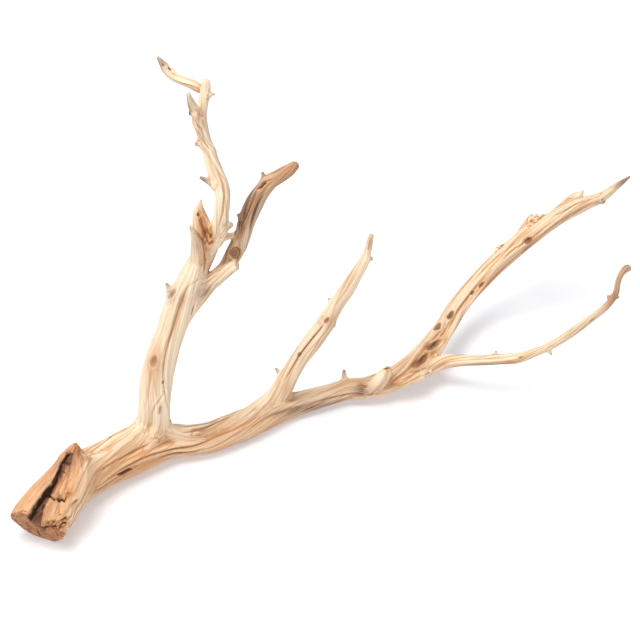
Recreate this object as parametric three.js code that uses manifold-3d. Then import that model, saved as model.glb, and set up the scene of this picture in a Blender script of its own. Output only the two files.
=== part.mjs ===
// A piece of driftwood, grown as one piece: a swollen butt with a rotted trough and a sawn end,
// a stem that lies along the ground and rises into the right arm, and the arms, twigs, broken
// stubs and thorns that grow from it. Millimetres, +Z up, the stem runs along +X.
import * as THREE from 'three';
import { mergeVertices } from 'three/addons/utils/BufferGeometryUtils.js';
import Module from 'manifold-3d';

const wasm = await Module();
wasm.setup();

// Driving dimensions
const SPAN = 640; // width that the picture below takes in at its middle
const PICTURE = 640; // pixels across that picture
const VIEW_DISTANCE = 3000;
const VIEW_ELEVATION = THREE.MathUtils.degToRad(40);
const ORIGIN = new THREE.Vector3(12, -141, 0);
const RING_GAP = 10; // from one ring of corners to the next along a limb
const EVEN_KEEL = 1000; // side of the blocks that cut flat faces
const SAW_SPOT = [38, 526, 25]; // pixel across, pixel down and height of the sawn end's middle
const SAW_FACING = new THREE.Vector3(-0.38, -0.85, -0.37).normalize();

// The branch was measured in a picture of 640 by 640 pixels, taken from VIEW_ELEVATION above the
// ground. A station gives the pixel where a limb's middle shows, its radius there in pixels, and
// one more length: its height above the ground, or how far back it lies.
const COS = Math.cos(VIEW_ELEVATION);
const SIN = Math.sin(VIEW_ELEVATION);
const TO_VIEWER = new THREE.Vector3(0, -COS, SIN);
const PIXEL = SPAN / PICTURE;

function sightline(px, py) {
  return { across: (px - PICTURE / 2) * PIXEL, up: (PICTURE / 2 - py) * PIXEL };
}

function pointAt(across, back, height) {
  const reach = 1 + (COS * back - SIN * height) / VIEW_DISTANCE;
  return new THREE.Vector3(across * reach, back, height).sub(ORIGIN);
}

function station(point, radius, back, height) {
  const reach = 1 + (COS * back - SIN * height) / VIEW_DISTANCE;
  return { point, radius: radius * PIXEL * reach };
}

// A station whose height above the ground is known
function low(px, py, height, radius) {
  const { across, up } = sightline(px, py);
  const back =
    (up - height * (COS + (up * SIN) / VIEW_DISTANCE)) / (SIN - (up * COS) / VIEW_DISTANCE);
  return station(pointAt(across, back, height), radius, back, height);
}

// A station whose distance back is known
function tall(px, py, back, radius) {
  const { across, up } = sightline(px, py);
  const height =
    (up * (1 + (COS * back) / VIEW_DISTANCE) - SIN * back) / (COS + (up * SIN) / VIEW_DISTANCE);
  return station(pointAt(across, back, height), radius, back, height);
}

// The point that shows at a pixel and lies as far from the viewer as a given point
function beside(px, py, near, nearer = 0) {
  const { across, up } = sightline(px, py);
  const from = near.clone().add(ORIGIN);
  const away = COS * from.y - SIN * from.z - nearer;
  const reach = 1 + away / VIEW_DISTANCE;
  const back = SIN * up * reach + COS * away;
  const height = COS * up * reach - SIN * away;
  return new THREE.Vector3(across * reach, back, height).sub(ORIGIN);
}

function pixelOf(point) {
  const from = point.clone().add(ORIGIN);
  const reach = 1 + (COS * from.y - SIN * from.z) / VIEW_DISTANCE;
  const up = (SIN * from.y + COS * from.z) / reach;
  return [PICTURE / 2 + from.x / reach / PIXEL, PICTURE / 2 - up / PIXEL];
}

// The course of a limb: a smooth curve through its stations, with its radius and its relief
class Course {
  constructor(stations, flutes = [], furrows = []) {
    this.path = new THREE.CatmullRomCurve3(stations.map((s) => s.point));
    this.girth = new THREE.CatmullRomCurve3(
      stations.map((s) => new THREE.Vector3(s.radius, 0, 0)),
      false,
      'catmullrom',
    );
    this.length = this.path.getLength();
    this.flutes = flutes;
    this.furrows = furrows;
  }

  radius(t) {
    return this.girth.getPoint(t).x;
  }

  // The way along the limb, and the two ways across it: towards the viewer and to the side
  frame(t) {
    const along = this.path.getTangent(t);
    const front = TO_VIEWER.clone().addScaledVector(along, -TO_VIEWER.dot(along)).normalize();
    const side = new THREE.Vector3().crossVectors(along, front);
    return { along, front, side };
  }

  // Flutes run the whole length. A furrow is a groove, or a ridge where its depth is negative.
  relief(t, angle) {
    let factor = 1;
    for (const [count, depth, phase, twist] of this.flutes) {
      factor += depth * Math.cos(count * angle + phase + twist * t);
    }
    for (const [from, to, at, drift, width, depth] of this.furrows) {
      const along = (t - from) / (to - from);
      if (along > 0 && along < 1) {
        const off = Math.atan2(Math.sin(angle - at - drift * along), Math.cos(angle - at - drift * along));
        factor -= depth * Math.sin(Math.PI * along) * Math.exp(-((off / width) ** 2));
      }
    }
    return factor;
  }

  outward(t, angle) {
    const { front, side } = this.frame(t);
    return front.multiplyScalar(Math.cos(angle)).addScaledVector(side, Math.sin(angle));
  }

  surface(t, angle) {
    const distance = this.radius(t) * this.relief(t, angle);
    return this.path.getPoint(t).addScaledVector(this.outward(t, angle), distance);
  }

  // Where along the limb and round it a pixel falls on its near face
  spot(px, py) {
    const steps = 400;
    let best = { t: 0, gap: Infinity };
    for (let i = 0; i <= steps; i += 1) {
      const [x, y] = pixelOf(this.path.getPoint(i / steps));
      const gap = Math.hypot(x - px, y - py);
      if (gap < best.gap) {
        best = { t: i / steps, gap };
      }
    }
    const centre = this.path.getPoint(best.t);
    const { side } = this.frame(best.t);
    const off = beside(px, py, centre).sub(centre).dot(side) / this.radius(best.t);
    return { t: best.t, angle: Math.asin(THREE.MathUtils.clamp(off, -0.95, 0.95)) };
  }
}

function solidOf(geometry) {
  const vertProperties = new Float32Array(geometry.attributes.position.array);
  const triVerts = new Uint32Array(geometry.index.array);
  return new wasm.Manifold(new wasm.Mesh({ numProp: 3, vertProperties, triVerts }));
}

function bare(geometry) {
  geometry.deleteAttribute('normal');
  geometry.deleteAttribute('uv');
  return mergeVertices(geometry);
}

// A cylinder bent along a course, with its relief, and with rounded ends
function limb(course, sides, gap = RING_GAP, dome = 0.35) {
  const rings = Math.max(3, Math.round(course.length / gap));
  const geometry = bare(new THREE.CylinderGeometry(1, 1, 1, sides, rings));
  const position = geometry.attributes.position;
  for (let i = 0; i < position.count; i += 1) {
    const t = THREE.MathUtils.clamp(position.getY(i) + 0.5, 0, 1);
    const [x, z] = [position.getX(i), position.getZ(i)];
    const corner = course.path.getPoint(t);
    if (Math.hypot(x, z) > 0.5) {
      corner.copy(course.surface(t, Math.atan2(x, z)));
    } else {
      const out = t > 0.5 ? dome : -dome;
      corner.addScaledVector(course.frame(t).along, out * course.radius(t));
    }
    position.setXYZ(i, corner.x, corner.y, corner.z);
  }
  return solidOf(geometry);
}

// A thorn or broken spur: the pixels where its root and its tip show, and its radius at each
function spur(course, [rootX, rootY], [tipX, tipY], rootRadius, tipRadius, nearer = 0) {
  const { t } = course.spot(rootX, rootY);
  const middle = course.path.getPoint(t);
  const root = beside(rootX, rootY, middle);
  const tip = beside(tipX, tipY, middle, nearer);
  return thorn(root, tip, rootRadius, tipRadius);
}

// The same on a side that the picture doesn't show, placed along and round the limb
function hiddenSpur(course, t, angle, length, rootRadius, tipRadius, lean = 0.4) {
  const root = course.path.getPoint(t).addScaledVector(course.outward(t, angle), course.radius(t) * 0.5);
  const tip = course.surface(t, angle).addScaledVector(course.outward(t, angle), length);
  tip.addScaledVector(course.frame(t).along, lean * length);
  return thorn(root, tip, rootRadius, tipRadius);
}

function thorn(root, tip, rootRadius, tipRadius) {
  const stations = [0, 0.35, 0.7, 1].map((share) => ({
    point: root.clone().lerp(tip, share),
    radius: tipRadius + (rootRadius - tipRadius) * (1 - share) ** 1.5,
  }));
  return limb(new Course(stations), 6, root.distanceTo(tip) / 3);
}

// The eye of a lost twig: an oval hollow along the grain, pressed into the limb's face
function eye(course, px, py, long, wide, deep) {
  const { t, angle } = course.spot(px, py);
  return hollow(course, t, angle, long, wide, deep);
}

function hollow(course, t, angle, long, wide, deep) {
  const outward = course.outward(t, angle);
  const { along } = course.frame(t);
  const across = new THREE.Vector3().crossVectors(along, outward);
  const geometry = bare(new THREE.SphereGeometry(1, 7, 4));
  geometry.scale(wide / 2, long / 2, deep);
  geometry.applyMatrix4(new THREE.Matrix4().makeBasis(across, along, outward));
  const middle = course.surface(t, angle);
  geometry.translate(middle.x, middle.y, middle.z);
  return solidOf(geometry);
}

function joined(solids) {
  return solids.reduce((whole, solid) => whole.add(solid));
}

// Everything on the far side of a plane
function beyond(point, facing) {
  const geometry = bare(new THREE.BoxGeometry(EVEN_KEEL, EVEN_KEEL, EVEN_KEEL));
  const turn = new THREE.Quaternion().setFromUnitVectors(new THREE.Vector3(0, 0, 1), facing);
  geometry.applyQuaternion(turn);
  const middle = point.clone().addScaledVector(facing, EVEN_KEEL / 2);
  geometry.translate(middle.x, middle.y, middle.z);
  return solidOf(geometry);
}

// The butt, from its torn peak down to the sawn end
const butt = new Course(
  [
    low(76, 447, 64, 5),
    low(71, 459, 59, 12),
    low(64, 474, 51, 17),
    low(56, 489, 41, 20.5),
    low(48, 504, 32, 23.5),
    low(40, 520, 24, 26.5),
    low(33, 535, 18, 27.5),
    low(27, 548, 13, 28),
  ],
  [
    [3, 0.05, 0.6, 1],
    [6, 0.03, 0, 2],
  ],
);

// The wood that fills the corner between the butt and the stem
const flank = new Course([
  low(85, 462, 42, 13),
  low(77, 477, 41, 18),
  low(68, 494, 37, 18.5),
  low(60, 510, 31, 17),
  low(54, 525, 25, 14),
  low(49, 537, 20, 11),
]);

// The stem and the right arm are one limb: it lies on the ground, then lifts from the fork on
const stem = new Course(
  [
    low(46, 510, 33, 19),
    low(56, 500, 33, 23),
    low(68, 489.5, 31.5, 25.5),
    low(84, 478, 29, 26.2),
    low(104, 467, 26.5, 25),
    low(124, 457.5, 24, 23.5),
    low(146, 448.5, 21.5, 20.5),
    low(170, 441.5, 18, 17),
    low(192, 439.5, 15.5, 14.6),
    low(210, 437, 14, 13.4),
    low(230, 430, 13.5, 13.8),
    low(250, 421, 13.5, 14.4),
    low(268, 411, 13.5, 14.4),
    low(284, 406, 13, 13),
    low(299, 402.4, 12.5, 11.4),
    low(316, 398, 13, 10.4),
    low(332, 393, 14.5, 10.1),
    low(349, 388.5, 16, 10.2),
    low(365, 387.3, 17.5, 10.2),
    low(382, 383.5, 19, 11.4),
    low(397, 376.5, 21, 12.2),
    low(411, 366.5, 23, 12.8),
    low(425, 350, 26, 12.8),
    low(440, 329.5, 31, 10.6),
    low(454.5, 307.5, 36, 9.7),
    low(475.4, 283.3, 47, 8.6),
    low(503, 254.6, 68, 9),
    low(526, 235.5, 85, 9.6),
    low(547.7, 221.3, 101, 7.6),
    low(565.7, 210, 115, 7.5),
    low(577, 205, 123, 7.4),
    low(589, 201.5, 131, 6.2),
    low(602.5, 196, 140, 5),
    low(615.5, 186.7, 150, 3.4),
    low(631, 175.8, 163, 0.8),
  ],
  [
    [2, 0.04, 0.5, 9],
    [3, 0.07, 0.9, 14],
    [5, 0.06, 2.1, 10],
    [7, 0.03, 0.3, 18],
  ],
  [
    [0.03, 0.2, -0.75, 0.3, 0.22, 0.16],
    [0.02, 0.24, 0.45, 0.35, 0.2, 0.1],
    [0.12, 0.42, 0.05, -0.5, 0.2, 0.14],
    [0.16, 0.4, 0.75, -0.3, 0.22, -0.09],
    [0.3, 0.5, -0.7, 0.6, 0.25, 0.12],
    [0.45, 0.62, 0.4, 0.9, 0.22, 0.14],
    [0.6, 0.85, -0.2, 1.2, 0.25, 0.13],
    [0.05, 0.35, 2.6, 0.5, 0.25, 0.16],
    [0.1, 0.45, 3.7, -0.6, 0.22, 0.14],
    [0.4, 0.75, 2.9, 0.9, 0.28, 0.15],
  ],
);

const leftArm = new Course(
  [
    tall(148, 447, -209, 22),
    tall(151.5, 431, -205, 18.5),
    tall(154.5, 413, -200, 15.8),
    tall(156.3, 394, -196, 15.8),
    tall(157.5, 380, -192, 16.4),
    tall(160.5, 364, -188, 15.8),
    tall(167.2, 341, -184, 14.6),
    tall(171.3, 330, -181, 14.2),
    tall(178, 311, -177, 14.6),
    tall(187, 287, -171, 13.2),
    tall(194.5, 270, -167, 11.8),
    tall(200.5, 257, -164, 10.4),
    tall(205, 246, -162, 9.6),
  ],
  [
    [2, 0.04, 0.2, 5],
    [3, 0.05, 1.4, 6],
    [5, 0.035, 0.2, 7],
  ],
  [
    [0.02, 0.5, -0.2, 0.3, 0.22, 0.12],
    [0.35, 0.98, 0.5, -0.6, 0.22, 0.14],
    [0.1, 0.7, -1.0, 0.5, 0.24, -0.08],
    [0.05, 0.6, 2.7, 0.5, 0.26, 0.16],
    [0.4, 0.95, 3.8, -0.5, 0.24, 0.14],
  ],
);

const sideArm = new Course(
  [
    tall(184, 300, -174, 10.5),
    tall(195, 291, -171, 9.4),
    tall(206, 283, -169, 8.2),
    tall(215, 277, -168, 7.5),
    tall(224, 271, -168, 7),
    tall(231.5, 267, -169, 6),
    tall(236.5, 265, -170, 4.8),
  ],
  [
    [2, 0.05, 0.4, 3],
    [5, 0.03, 0.4, 3],
  ],
);

const darkArm = new Course(
  [
    tall(214, 278, -167, 6.4),
    tall(223, 267, -163, 7.2),
    tall(230.5, 257.5, -159, 8.1),
    tall(235.8, 249, -156, 8.3),
    tall(240, 241, -154, 7.8),
    tall(243.5, 232, -152, 7.3),
    tall(246.5, 222, -151, 7.8),
    tall(250.5, 211, -151, 8.3),
    tall(255.5, 201, -150, 8.4),
    tall(262, 191, -148, 7.6),
    tall(270, 181.5, -144, 7.2),
    tall(280, 175.5, -139, 6.2),
    tall(289, 169.5, -134, 5.4),
    tall(295, 165, -131, 4.2),
  ],
  [
    [2, 0.06, 1.2, 4],
    [5, 0.045, 0.4, 5],
  ],
  [
    [0.3, 0.95, -0.3, 0.5, 0.3, 0.14],
    [0.2, 0.9, 2.8, 0.6, 0.35, 0.16],
  ],
);

const upperArm = new Course(
  [
    tall(205, 252, -163, 8.6),
    tall(212, 243, -164, 9),
    tall(217.3, 233, -165, 8.8),
    tall(219.5, 222, -166, 7.9),
    tall(221.5, 207, -165, 7.2),
    tall(222.5, 195, -162, 7.2),
    tall(220, 183, -157, 7.4),
    tall(215.5, 172, -152, 7.6),
    tall(211, 158, -147, 7.2),
    tall(209, 150, -144, 7.6),
    tall(205.5, 143, -142, 6.8),
    tall(202, 131, -139, 6.6),
    tall(199.5, 120, -137, 6.9),
    tall(201.5, 108, -135, 5.4),
    tall(203.7, 98, -132, 5.2),
    tall(205.5, 88, -128, 5),
    tall(206, 80.5, -126, 3.6),
  ],
  [
    [2, 0.05, 2.2, 7],
    [3, 0.05, 0.4, 9],
    [5, 0.03, 1.4, 9],
  ],
  [
    [0.05, 0.45, 0.5, -0.3, 0.3, 0.15],
    [0.3, 0.85, -0.5, 0.8, 0.3, 0.12],
    [0.15, 0.7, 2.8, 0.9, 0.35, 0.15],
  ],
);

const topBranch = new Course(
  [
    tall(205, 96, -131, 5.4),
    tall(198.5, 88.5, -129, 5.5),
    tall(190, 83.5, -126, 5.5),
    tall(180, 80, -122, 5),
    tall(172, 75.5, -119, 4.9),
    tall(166, 69, -117, 4.5),
    tall(161, 62, -116, 2.6),
    tall(156.8, 56.8, -115, 0.8),
  ],
  [[3, 0.07, 0.4, 5]],
);

const topFork = new Course(
  [
    tall(199.5, 123, -138, 5.4),
    tall(195.5, 113, -140, 4.9),
    tall(191.5, 104, -142, 4.2),
    tall(188, 93, -144, 1.7),
  ],
  [[3, 0.06, 0.4, 2]],
);

// A torn-off branch: its front is scooped out, and it ends in a splinter
const tornStub = new Course(
  [
    tall(204, 262, -160, 9),
    tall(205.5, 248, -160, 10.5),
    tall(204, 233, -159, 9.6),
    tall(201.2, 220, -157, 8),
    tall(199.6, 211, -156, 5.6),
    tall(200.4, 203.5, -154, 2.3),
    tall(202.6, 196.5, -152, 0.5),
  ],
  [[5, 0.05, 0.4, 2]],
);

const horn = new Course([
  tall(199, 265, -169, 9),
  tall(198.5, 252, -171, 8),
  tall(197, 241, -173, 5.8),
  tall(193.3, 232.5, -174, 3.4),
  tall(189.8, 225, -175, 0.9),
]);

const middleTwig = new Course(
  [
    tall(279, 403, -146, 12),
    tall(282, 391, -142, 10.6),
    tall(287, 377.5, -139, 9.2),
    tall(293, 367, -136, 8.5),
    tall(299.5, 357, -133, 8.2),
    tall(311, 341, -128, 8.3),
    tall(322, 326, -123, 8),
    tall(330, 313.5, -118, 7.3),
    tall(338, 301, -113, 6.9),
    tall(347, 288, -109, 6.4),
    tall(356, 273, -104, 5.7),
    tall(363, 261.5, -100, 4.9),
    tall(367.5, 251, -97, 3.9),
    tall(369.5, 243, -95, 3.4),
    tall(371.5, 235, -93, 2.5),
  ],
  [
    [2, 0.05, 0.2, 5],
    [3, 0.045, 1.4, 8],
    [5, 0.03, 0.2, 8],
  ],
  [
    [0.05, 0.6, 0.0, -0.1, 0.22, 0.13],
    [0.2, 0.85, 2.8, 0.8, 0.35, 0.15],
  ],
);

const rightTwig = new Course(
  [
    low(428, 366, 24, 8),
    low(444, 361.5, 28, 6.6),
    low(457.7, 359.8, 32, 5.2),
    low(475, 360.2, 37, 4.9),
    low(500, 359.4, 42, 4.8),
    low(517.6, 358, 44, 5),
    low(534, 352.5, 45, 4.3),
    low(552, 345, 46, 4),
    low(569, 334.5, 46, 4.4),
    low(586, 322, 46, 4.2),
    low(604, 308, 47, 3.6),
    low(611, 300, 48, 3.4),
    low(616, 292, 50, 3.1),
    low(617.7, 283, 53, 2.9),
    low(621, 274, 56, 3),
    low(625.8, 268.8, 58, 3.6),
    low(629, 267.5, 59, 3.2),
  ],
  [
    [2, 0.06, 0.2, 9],
    [3, 0.05, 0.2, 12],
  ],
);

// Broken lobes of wood that stand out on the stem, and short stubs
const upperLobe = new Course([
  tall(366, 388, -124, 7),
  tall(375, 382, -126, 9),
  tall(382, 376, -126, 7.5),
  tall(386, 371, -125, 4),
]);

const lowerLobe = new Course([
  low(398, 382, 18, 7),
  low(409, 378, 20, 6),
  low(421, 374.5, 22, 5),
  low(431, 370, 24, 2),
]);

const upperStub = new Course([
  tall(217, 234, -166, 4),
  tall(224, 229.5, -168, 2.7),
  tall(231, 224.5, -170, 2.3),
]);

const hiddenEnd = new Course([
  tall(217, 238, -162, 5),
  tall(226, 236, -152, 3.2),
  tall(233.5, 235.4, -143, 2.6),
]);

const flatStub = new Course([
  low(526, 233, 86, 7),
  low(531, 223, 90, 6.4),
  low(535.5, 215.5, 95, 4.6),
]);

// The rotted trough along the butt, open at the sawn end
const trough = new Course([
  low(71.5, 449, 66, 4),
  low(68.5, 457, 65, 6),
  low(64.5, 466, 62.5, 7.5),
  low(60.5, 476, 58.5, 8.5),
  low(55, 486, 54.5, 9),
  low(48.5, 496, 49, 10),
  low(42.5, 506, 44.5, 10.5),
  low(37, 516, 40.5, 11.5),
  low(32, 528, 36, 12),
  low(26, 543, 31, 12.5),
]);

const limbs = [
  limb(butt, 20),
  limb(flank, 14),
  limb(stem, 18),
  limb(leftArm, 16),
  limb(sideArm, 12, 8),
  limb(darkArm, 12, 8),
  limb(upperArm, 12, 8),
  limb(topBranch, 8, 7),
  limb(topFork, 8, 7),
  limb(tornStub, 10, 8),
  limb(horn, 8, 9),
  limb(middleTwig, 12, 9),
  limb(rightTwig, 9, 8),
  limb(upperLobe, 9, 7),
  limb(lowerLobe, 8, 8),
  limb(upperStub, 7, 8),
  limb(hiddenEnd, 7, 8),
  limb(flatStub, 8, 7),
];

const spurs = [
  spur(stem, [344.5, 382], [343.9, 369.3], 4.2, 1.3),
  spur(stem, [496.5, 250], [501.6, 243.2], 3, 0.8),
  spur(stem, [540, 219], [544.2, 213.4], 2.4, 0.6),
  spur(stem, [578, 201], [583.4, 190.6], 4.6, 0.8),
  spur(stem, [599, 196], [603.6, 203], 3.2, 1.6),
  spur(rightTwig, [495, 358], [496, 349.3], 3.6, 0.8),
  spur(rightTwig, [547, 347], [552, 356], 3.6, 0.9),
  spur(rightTwig, [613, 296], [619, 297.5], 2.6, 1.2),
  spur(middleTwig, [283, 378], [274.6, 366.8], 4.6, 0.8),
  spur(middleTwig, [332.5, 304], [327.4, 297], 3.6, 0.8),
  spur(middleTwig, [367, 259], [373.4, 258.5], 3.2, 1.5),
  spur(leftArm, [175, 299], [165.8, 282.8], 5, 1),
  spur(upperArm, [215, 182], [199, 177], 4, 0.8),
  spur(upperArm, [204, 144], [195.4, 143.5], 4, 1.8),
  spur(upperArm, [206, 96], [215.6, 93.6], 3.4, 0.9),
  spur(topBranch, [165, 68], [167.3, 61.6], 2, 0.6),
  spur(darkArm, [245, 223], [235.6, 212.2], 4.4, 0.7),
  spur(darkArm, [265, 183], [262, 171], 4.2, 1),
  hiddenSpur(stem, 0.28, 3.36, 14, 7, 3.6, 0.1),
  hiddenSpur(stem, 0.58, 3.4, 8, 4, 1.2),
  hiddenSpur(stem, 0.8, 2.9, 7, 3.4, 0.9),
  hiddenSpur(leftArm, 0.55, 3.5, 9, 5, 1.4),
  hiddenSpur(middleTwig, 0.45, 2.9, 6, 3.4, 0.9),
  hiddenSpur(upperArm, 0.35, 3.3, 6, 3.4, 0.9),
];

const eyes = [
  eye(stem, 423, 361, 17, 7, 3.5),
  eye(stem, 436.5, 344, 14, 5.5, 2.5),
  eye(stem, 436, 326.5, 12, 7.5, 3.5),
  eye(stem, 450, 314.5, 11, 6.5, 3),
  eye(stem, 528, 241, 8, 7, 2),
  eye(stem, 361, 389.5, 11, 8, 2.5),
  eye(stem, 125, 472.5, 15, 4.5, 3),
  eye(leftArm, 153.5, 361, 13, 7.5, 2.5),
  eye(leftArm, 196, 313, 10, 5, 3),
  eye(darkArm, 235.5, 253, 9.5, 9, 1.6),
  eye(middleTwig, 327.5, 321, 7, 4.5, 2),
  hollow(stem, 0.24, 3.0, 16, 9, 3.5),
  hollow(stem, 0.52, 2.6, 12, 7, 2.8),
  hollow(leftArm, 0.35, 3.0, 13, 8, 3),
  hollow(leftArm, 0.8, 2.6, 9, 6, 2.2),
];

// The scoop in the torn branch's front
function tornFace() {
  const face = [
    tall(199.5, 206, -162, 3),
    tall(200.5, 216, -166, 5.5),
    tall(203, 226, -170, 6.5),
    tall(206.5, 236, -172, 6),
    tall(209.5, 245, -174, 3.5),
  ];
  return limb(new Course(face), 8, 8);
}

// Steps where the trough's right wall has broken away in plates
function brokenPlates() {
  const plates = [
    [low(58, 501, 54, 7.5), low(54, 512, 50, 7.5), low(50, 522, 45.5, 7.5)],
    [low(46, 527, 41.5, 3), low(56, 523.5, 39.5, 3.5), low(66, 521, 36, 3)],
  ];
  return joined(plates.map((stations) => limb(new Course(stations), 6, 8, 0)));
}

const sawSpot = low(...SAW_SPOT, 1).point;
const wood = joined([...limbs, ...spurs])
  .subtract(joined([limb(trough, 10), tornFace(), brokenPlates(), ...eyes]))
  .subtract(beyond(sawSpot, SAW_FACING))
  .subtract(beyond(new THREE.Vector3(0, 0, 0), new THREE.Vector3(0, 0, -1)));

function meshOf(solid, name, material) {
  const { vertProperties, triVerts } = solid.getMesh();
  const geometry = new THREE.BufferGeometry();
  geometry.setAttribute('position', new THREE.BufferAttribute(vertProperties, 3));
  geometry.setIndex(new THREE.BufferAttribute(triVerts, 1));
  geometry.computeVertexNormals();
  const mesh = new THREE.Mesh(geometry, material);
  mesh.name = name;
  return mesh;
}

const bleachedWood = new THREE.MeshStandardMaterial({ color: 0xdcb486, roughness: 0.85, metalness: 0 });

const driftwood = new THREE.Group();
driftwood.add(meshOf(wood, 'driftwood', bleachedWood));

export default driftwood;
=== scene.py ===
# %% [markdown]
# # A piece of driftwood
#
# The object is one branch of a shrub: a swollen butt that was sawn off and has rotted out, a
# stem that lies on the ground and lifts into the right arm, and the arms, twigs, broken stubs
# and thorns that grow from it. Wind and sand have worn the bark away, so the grain stands out
# in ridges, flows round the eyes of lost twigs and opens in dark checks.
#
# It can't be built from parts, because it grew as one. So the lesson follows a sculptor's way:
# rough limbs from rings, fused into one skin, pulled smooth where they meet, then carved with
# ridges, eyes and checks, and coloured from the same growth that shaped it.

import math
import time

import bmesh
import bpy
import numpy as np
from mathutils import Matrix, Vector


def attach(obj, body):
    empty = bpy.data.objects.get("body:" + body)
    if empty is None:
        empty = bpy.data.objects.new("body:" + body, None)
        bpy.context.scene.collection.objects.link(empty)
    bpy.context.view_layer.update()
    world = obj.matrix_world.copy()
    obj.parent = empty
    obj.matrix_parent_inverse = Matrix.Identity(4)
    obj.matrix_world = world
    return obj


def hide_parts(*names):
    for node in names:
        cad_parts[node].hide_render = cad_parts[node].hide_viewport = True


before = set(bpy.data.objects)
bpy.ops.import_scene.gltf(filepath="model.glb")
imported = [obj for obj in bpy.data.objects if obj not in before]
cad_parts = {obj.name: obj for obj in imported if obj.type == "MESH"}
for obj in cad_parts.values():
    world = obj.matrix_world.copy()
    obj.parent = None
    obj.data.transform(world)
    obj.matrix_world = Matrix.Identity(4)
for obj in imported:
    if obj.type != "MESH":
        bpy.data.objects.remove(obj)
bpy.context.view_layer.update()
started = time.time()

# %% [markdown]
# ## Where the branch was measured
#
# The branch was measured in a picture of 640 by 640 pixels, seen from 40 degrees above the
# ground. A station on a limb gives the pixel across and down where its middle shows, one more
# length, and its radius in pixels. The length is the height above the ground for a limb that
# lies low, and the distance back for one that stands tall. One pixel is one millimetre at the
# picture's middle. The solid model uses the same stations, so the two fit with no adjustment.

# %% From the picture to the branch's own frame
MM = 0.001
PICTURE = 640
VIEW_DISTANCE = 3000.0
VIEW_ELEVATION = math.radians(40)
ORIGIN = np.array([12.0, -141.0, 0.0])
COS, SIN = math.cos(VIEW_ELEVATION), math.sin(VIEW_ELEVATION)
TO_VIEWER = np.array([0.0, -COS, SIN])


def station(across, back, height, radius):
    """A row of x, y, z and radius, in millimetres."""
    reach = 1 + (COS * back - SIN * height) / VIEW_DISTANCE
    return [across * reach - ORIGIN[0], back - ORIGIN[1], height, radius * reach]


def low(*stations):
    """Stations of (pixel across, pixel down, height, radius)."""
    rows = []
    for px, py, height, radius in stations:
        up = PICTURE / 2 - py
        lift = height * (COS + up * SIN / VIEW_DISTANCE)
        back = (up - lift) / (SIN - up * COS / VIEW_DISTANCE)
        rows.append(station(px - PICTURE / 2, back, height, radius))
    return np.array(rows)


def tall(*stations):
    """Stations of (pixel across, pixel down, distance back, radius)."""
    rows = []
    for px, py, back, radius in stations:
        up = PICTURE / 2 - py
        lift = up * (1 + COS * back / VIEW_DISTANCE) - SIN * back
        height = lift / (COS + up * SIN / VIEW_DISTANCE)
        rows.append(station(px - PICTURE / 2, back, height, radius))
    return np.array(rows)


def beside(px, py, near, nearer=0.0):
    """The point that shows at a pixel and is as far away as another point."""
    away = COS * (near[1] + ORIGIN[1]) - SIN * near[2] - nearer
    reach = 1 + away / VIEW_DISTANCE
    up = (PICTURE / 2 - py) * reach
    back, height = SIN * up + COS * away, COS * up - SIN * away
    return np.array([(px - PICTURE / 2) * reach, back, height]) - ORIGIN


def pixel_of(points):
    """The pixels at which points show."""
    x, y, z = (points + ORIGIN).T
    reach = 1 + (COS * y - SIN * z) / VIEW_DISTANCE
    return np.stack([PICTURE / 2 + x / reach, PICTURE / 2 - (SIN * y + COS * z) / reach], axis=1)


print("the picture's middle lies at", [round(float(v), 1) for v in beside(320, 320, -ORIGIN)])

# %% [markdown]
# ## A limb
#
# Each limb is a smooth curve through its stations. Every place on the skin can then be told by
# how far along the limb it is and at what angle round it, counted from the side that faces the
# viewer. The relief is written in those terms: flutes that run the whole length and twist
# slowly, as the strands of a shrub's stem do, and furrows that come and go.

# %% The course of a limb
SAMPLE_GAP = 1.5
AT_ONCE = 20000
TURNS_TRIED = np.linspace(-1.4, 1.4, 57)


def through(rows, at, even=False):
    """A Catmull-Rom curve through rows, read at numbers from 0 to 1."""
    ends = np.vstack([2 * rows[0] - rows[1], rows, 2 * rows[-1] - rows[-2]])
    last = len(rows) - 1
    place = np.clip(at, 0, 1) * last
    piece = np.minimum(place.astype(int), last - 1)
    w = (place - piece)[:, None]
    p0, p1, p2, p3 = (ends[piece + i] for i in range(4))
    steps = [np.ones(len(w)) if even else ((b - a) ** 2).sum(axis=1) ** 0.25
             for a, b in ((p0, p1), (p1, p2), (p2, p3))]
    s0, s1, s2 = (np.maximum(s, 1e-4)[:, None] for s in steps)
    leave = ((p1 - p0) / s0 - (p2 - p0) / (s0 + s1) + (p2 - p1) / s1) * s1
    reach = ((p2 - p1) / s1 - (p3 - p1) / (s1 + s2) + (p3 - p2) / s2) * s1
    return (p1 + leave * w + (3 * (p2 - p1) - 2 * leave - reach) * w ** 2
            + (2 * (p1 - p2) + leave + reach) * w ** 3)


def hump(values, width):
    """1 where a value is 0, falling softly to 0 on both sides."""
    return np.exp(-((values / width) ** 2))


def wrapped(angles):
    """The same angles, counted between half a turn back and half a turn on."""
    return np.angle(np.exp(1j * angles))


def unit(vectors):
    """The same directions with a length of 1."""
    return vectors / np.maximum(np.linalg.norm(vectors, axis=-1, keepdims=True), 1e-9)


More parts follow.
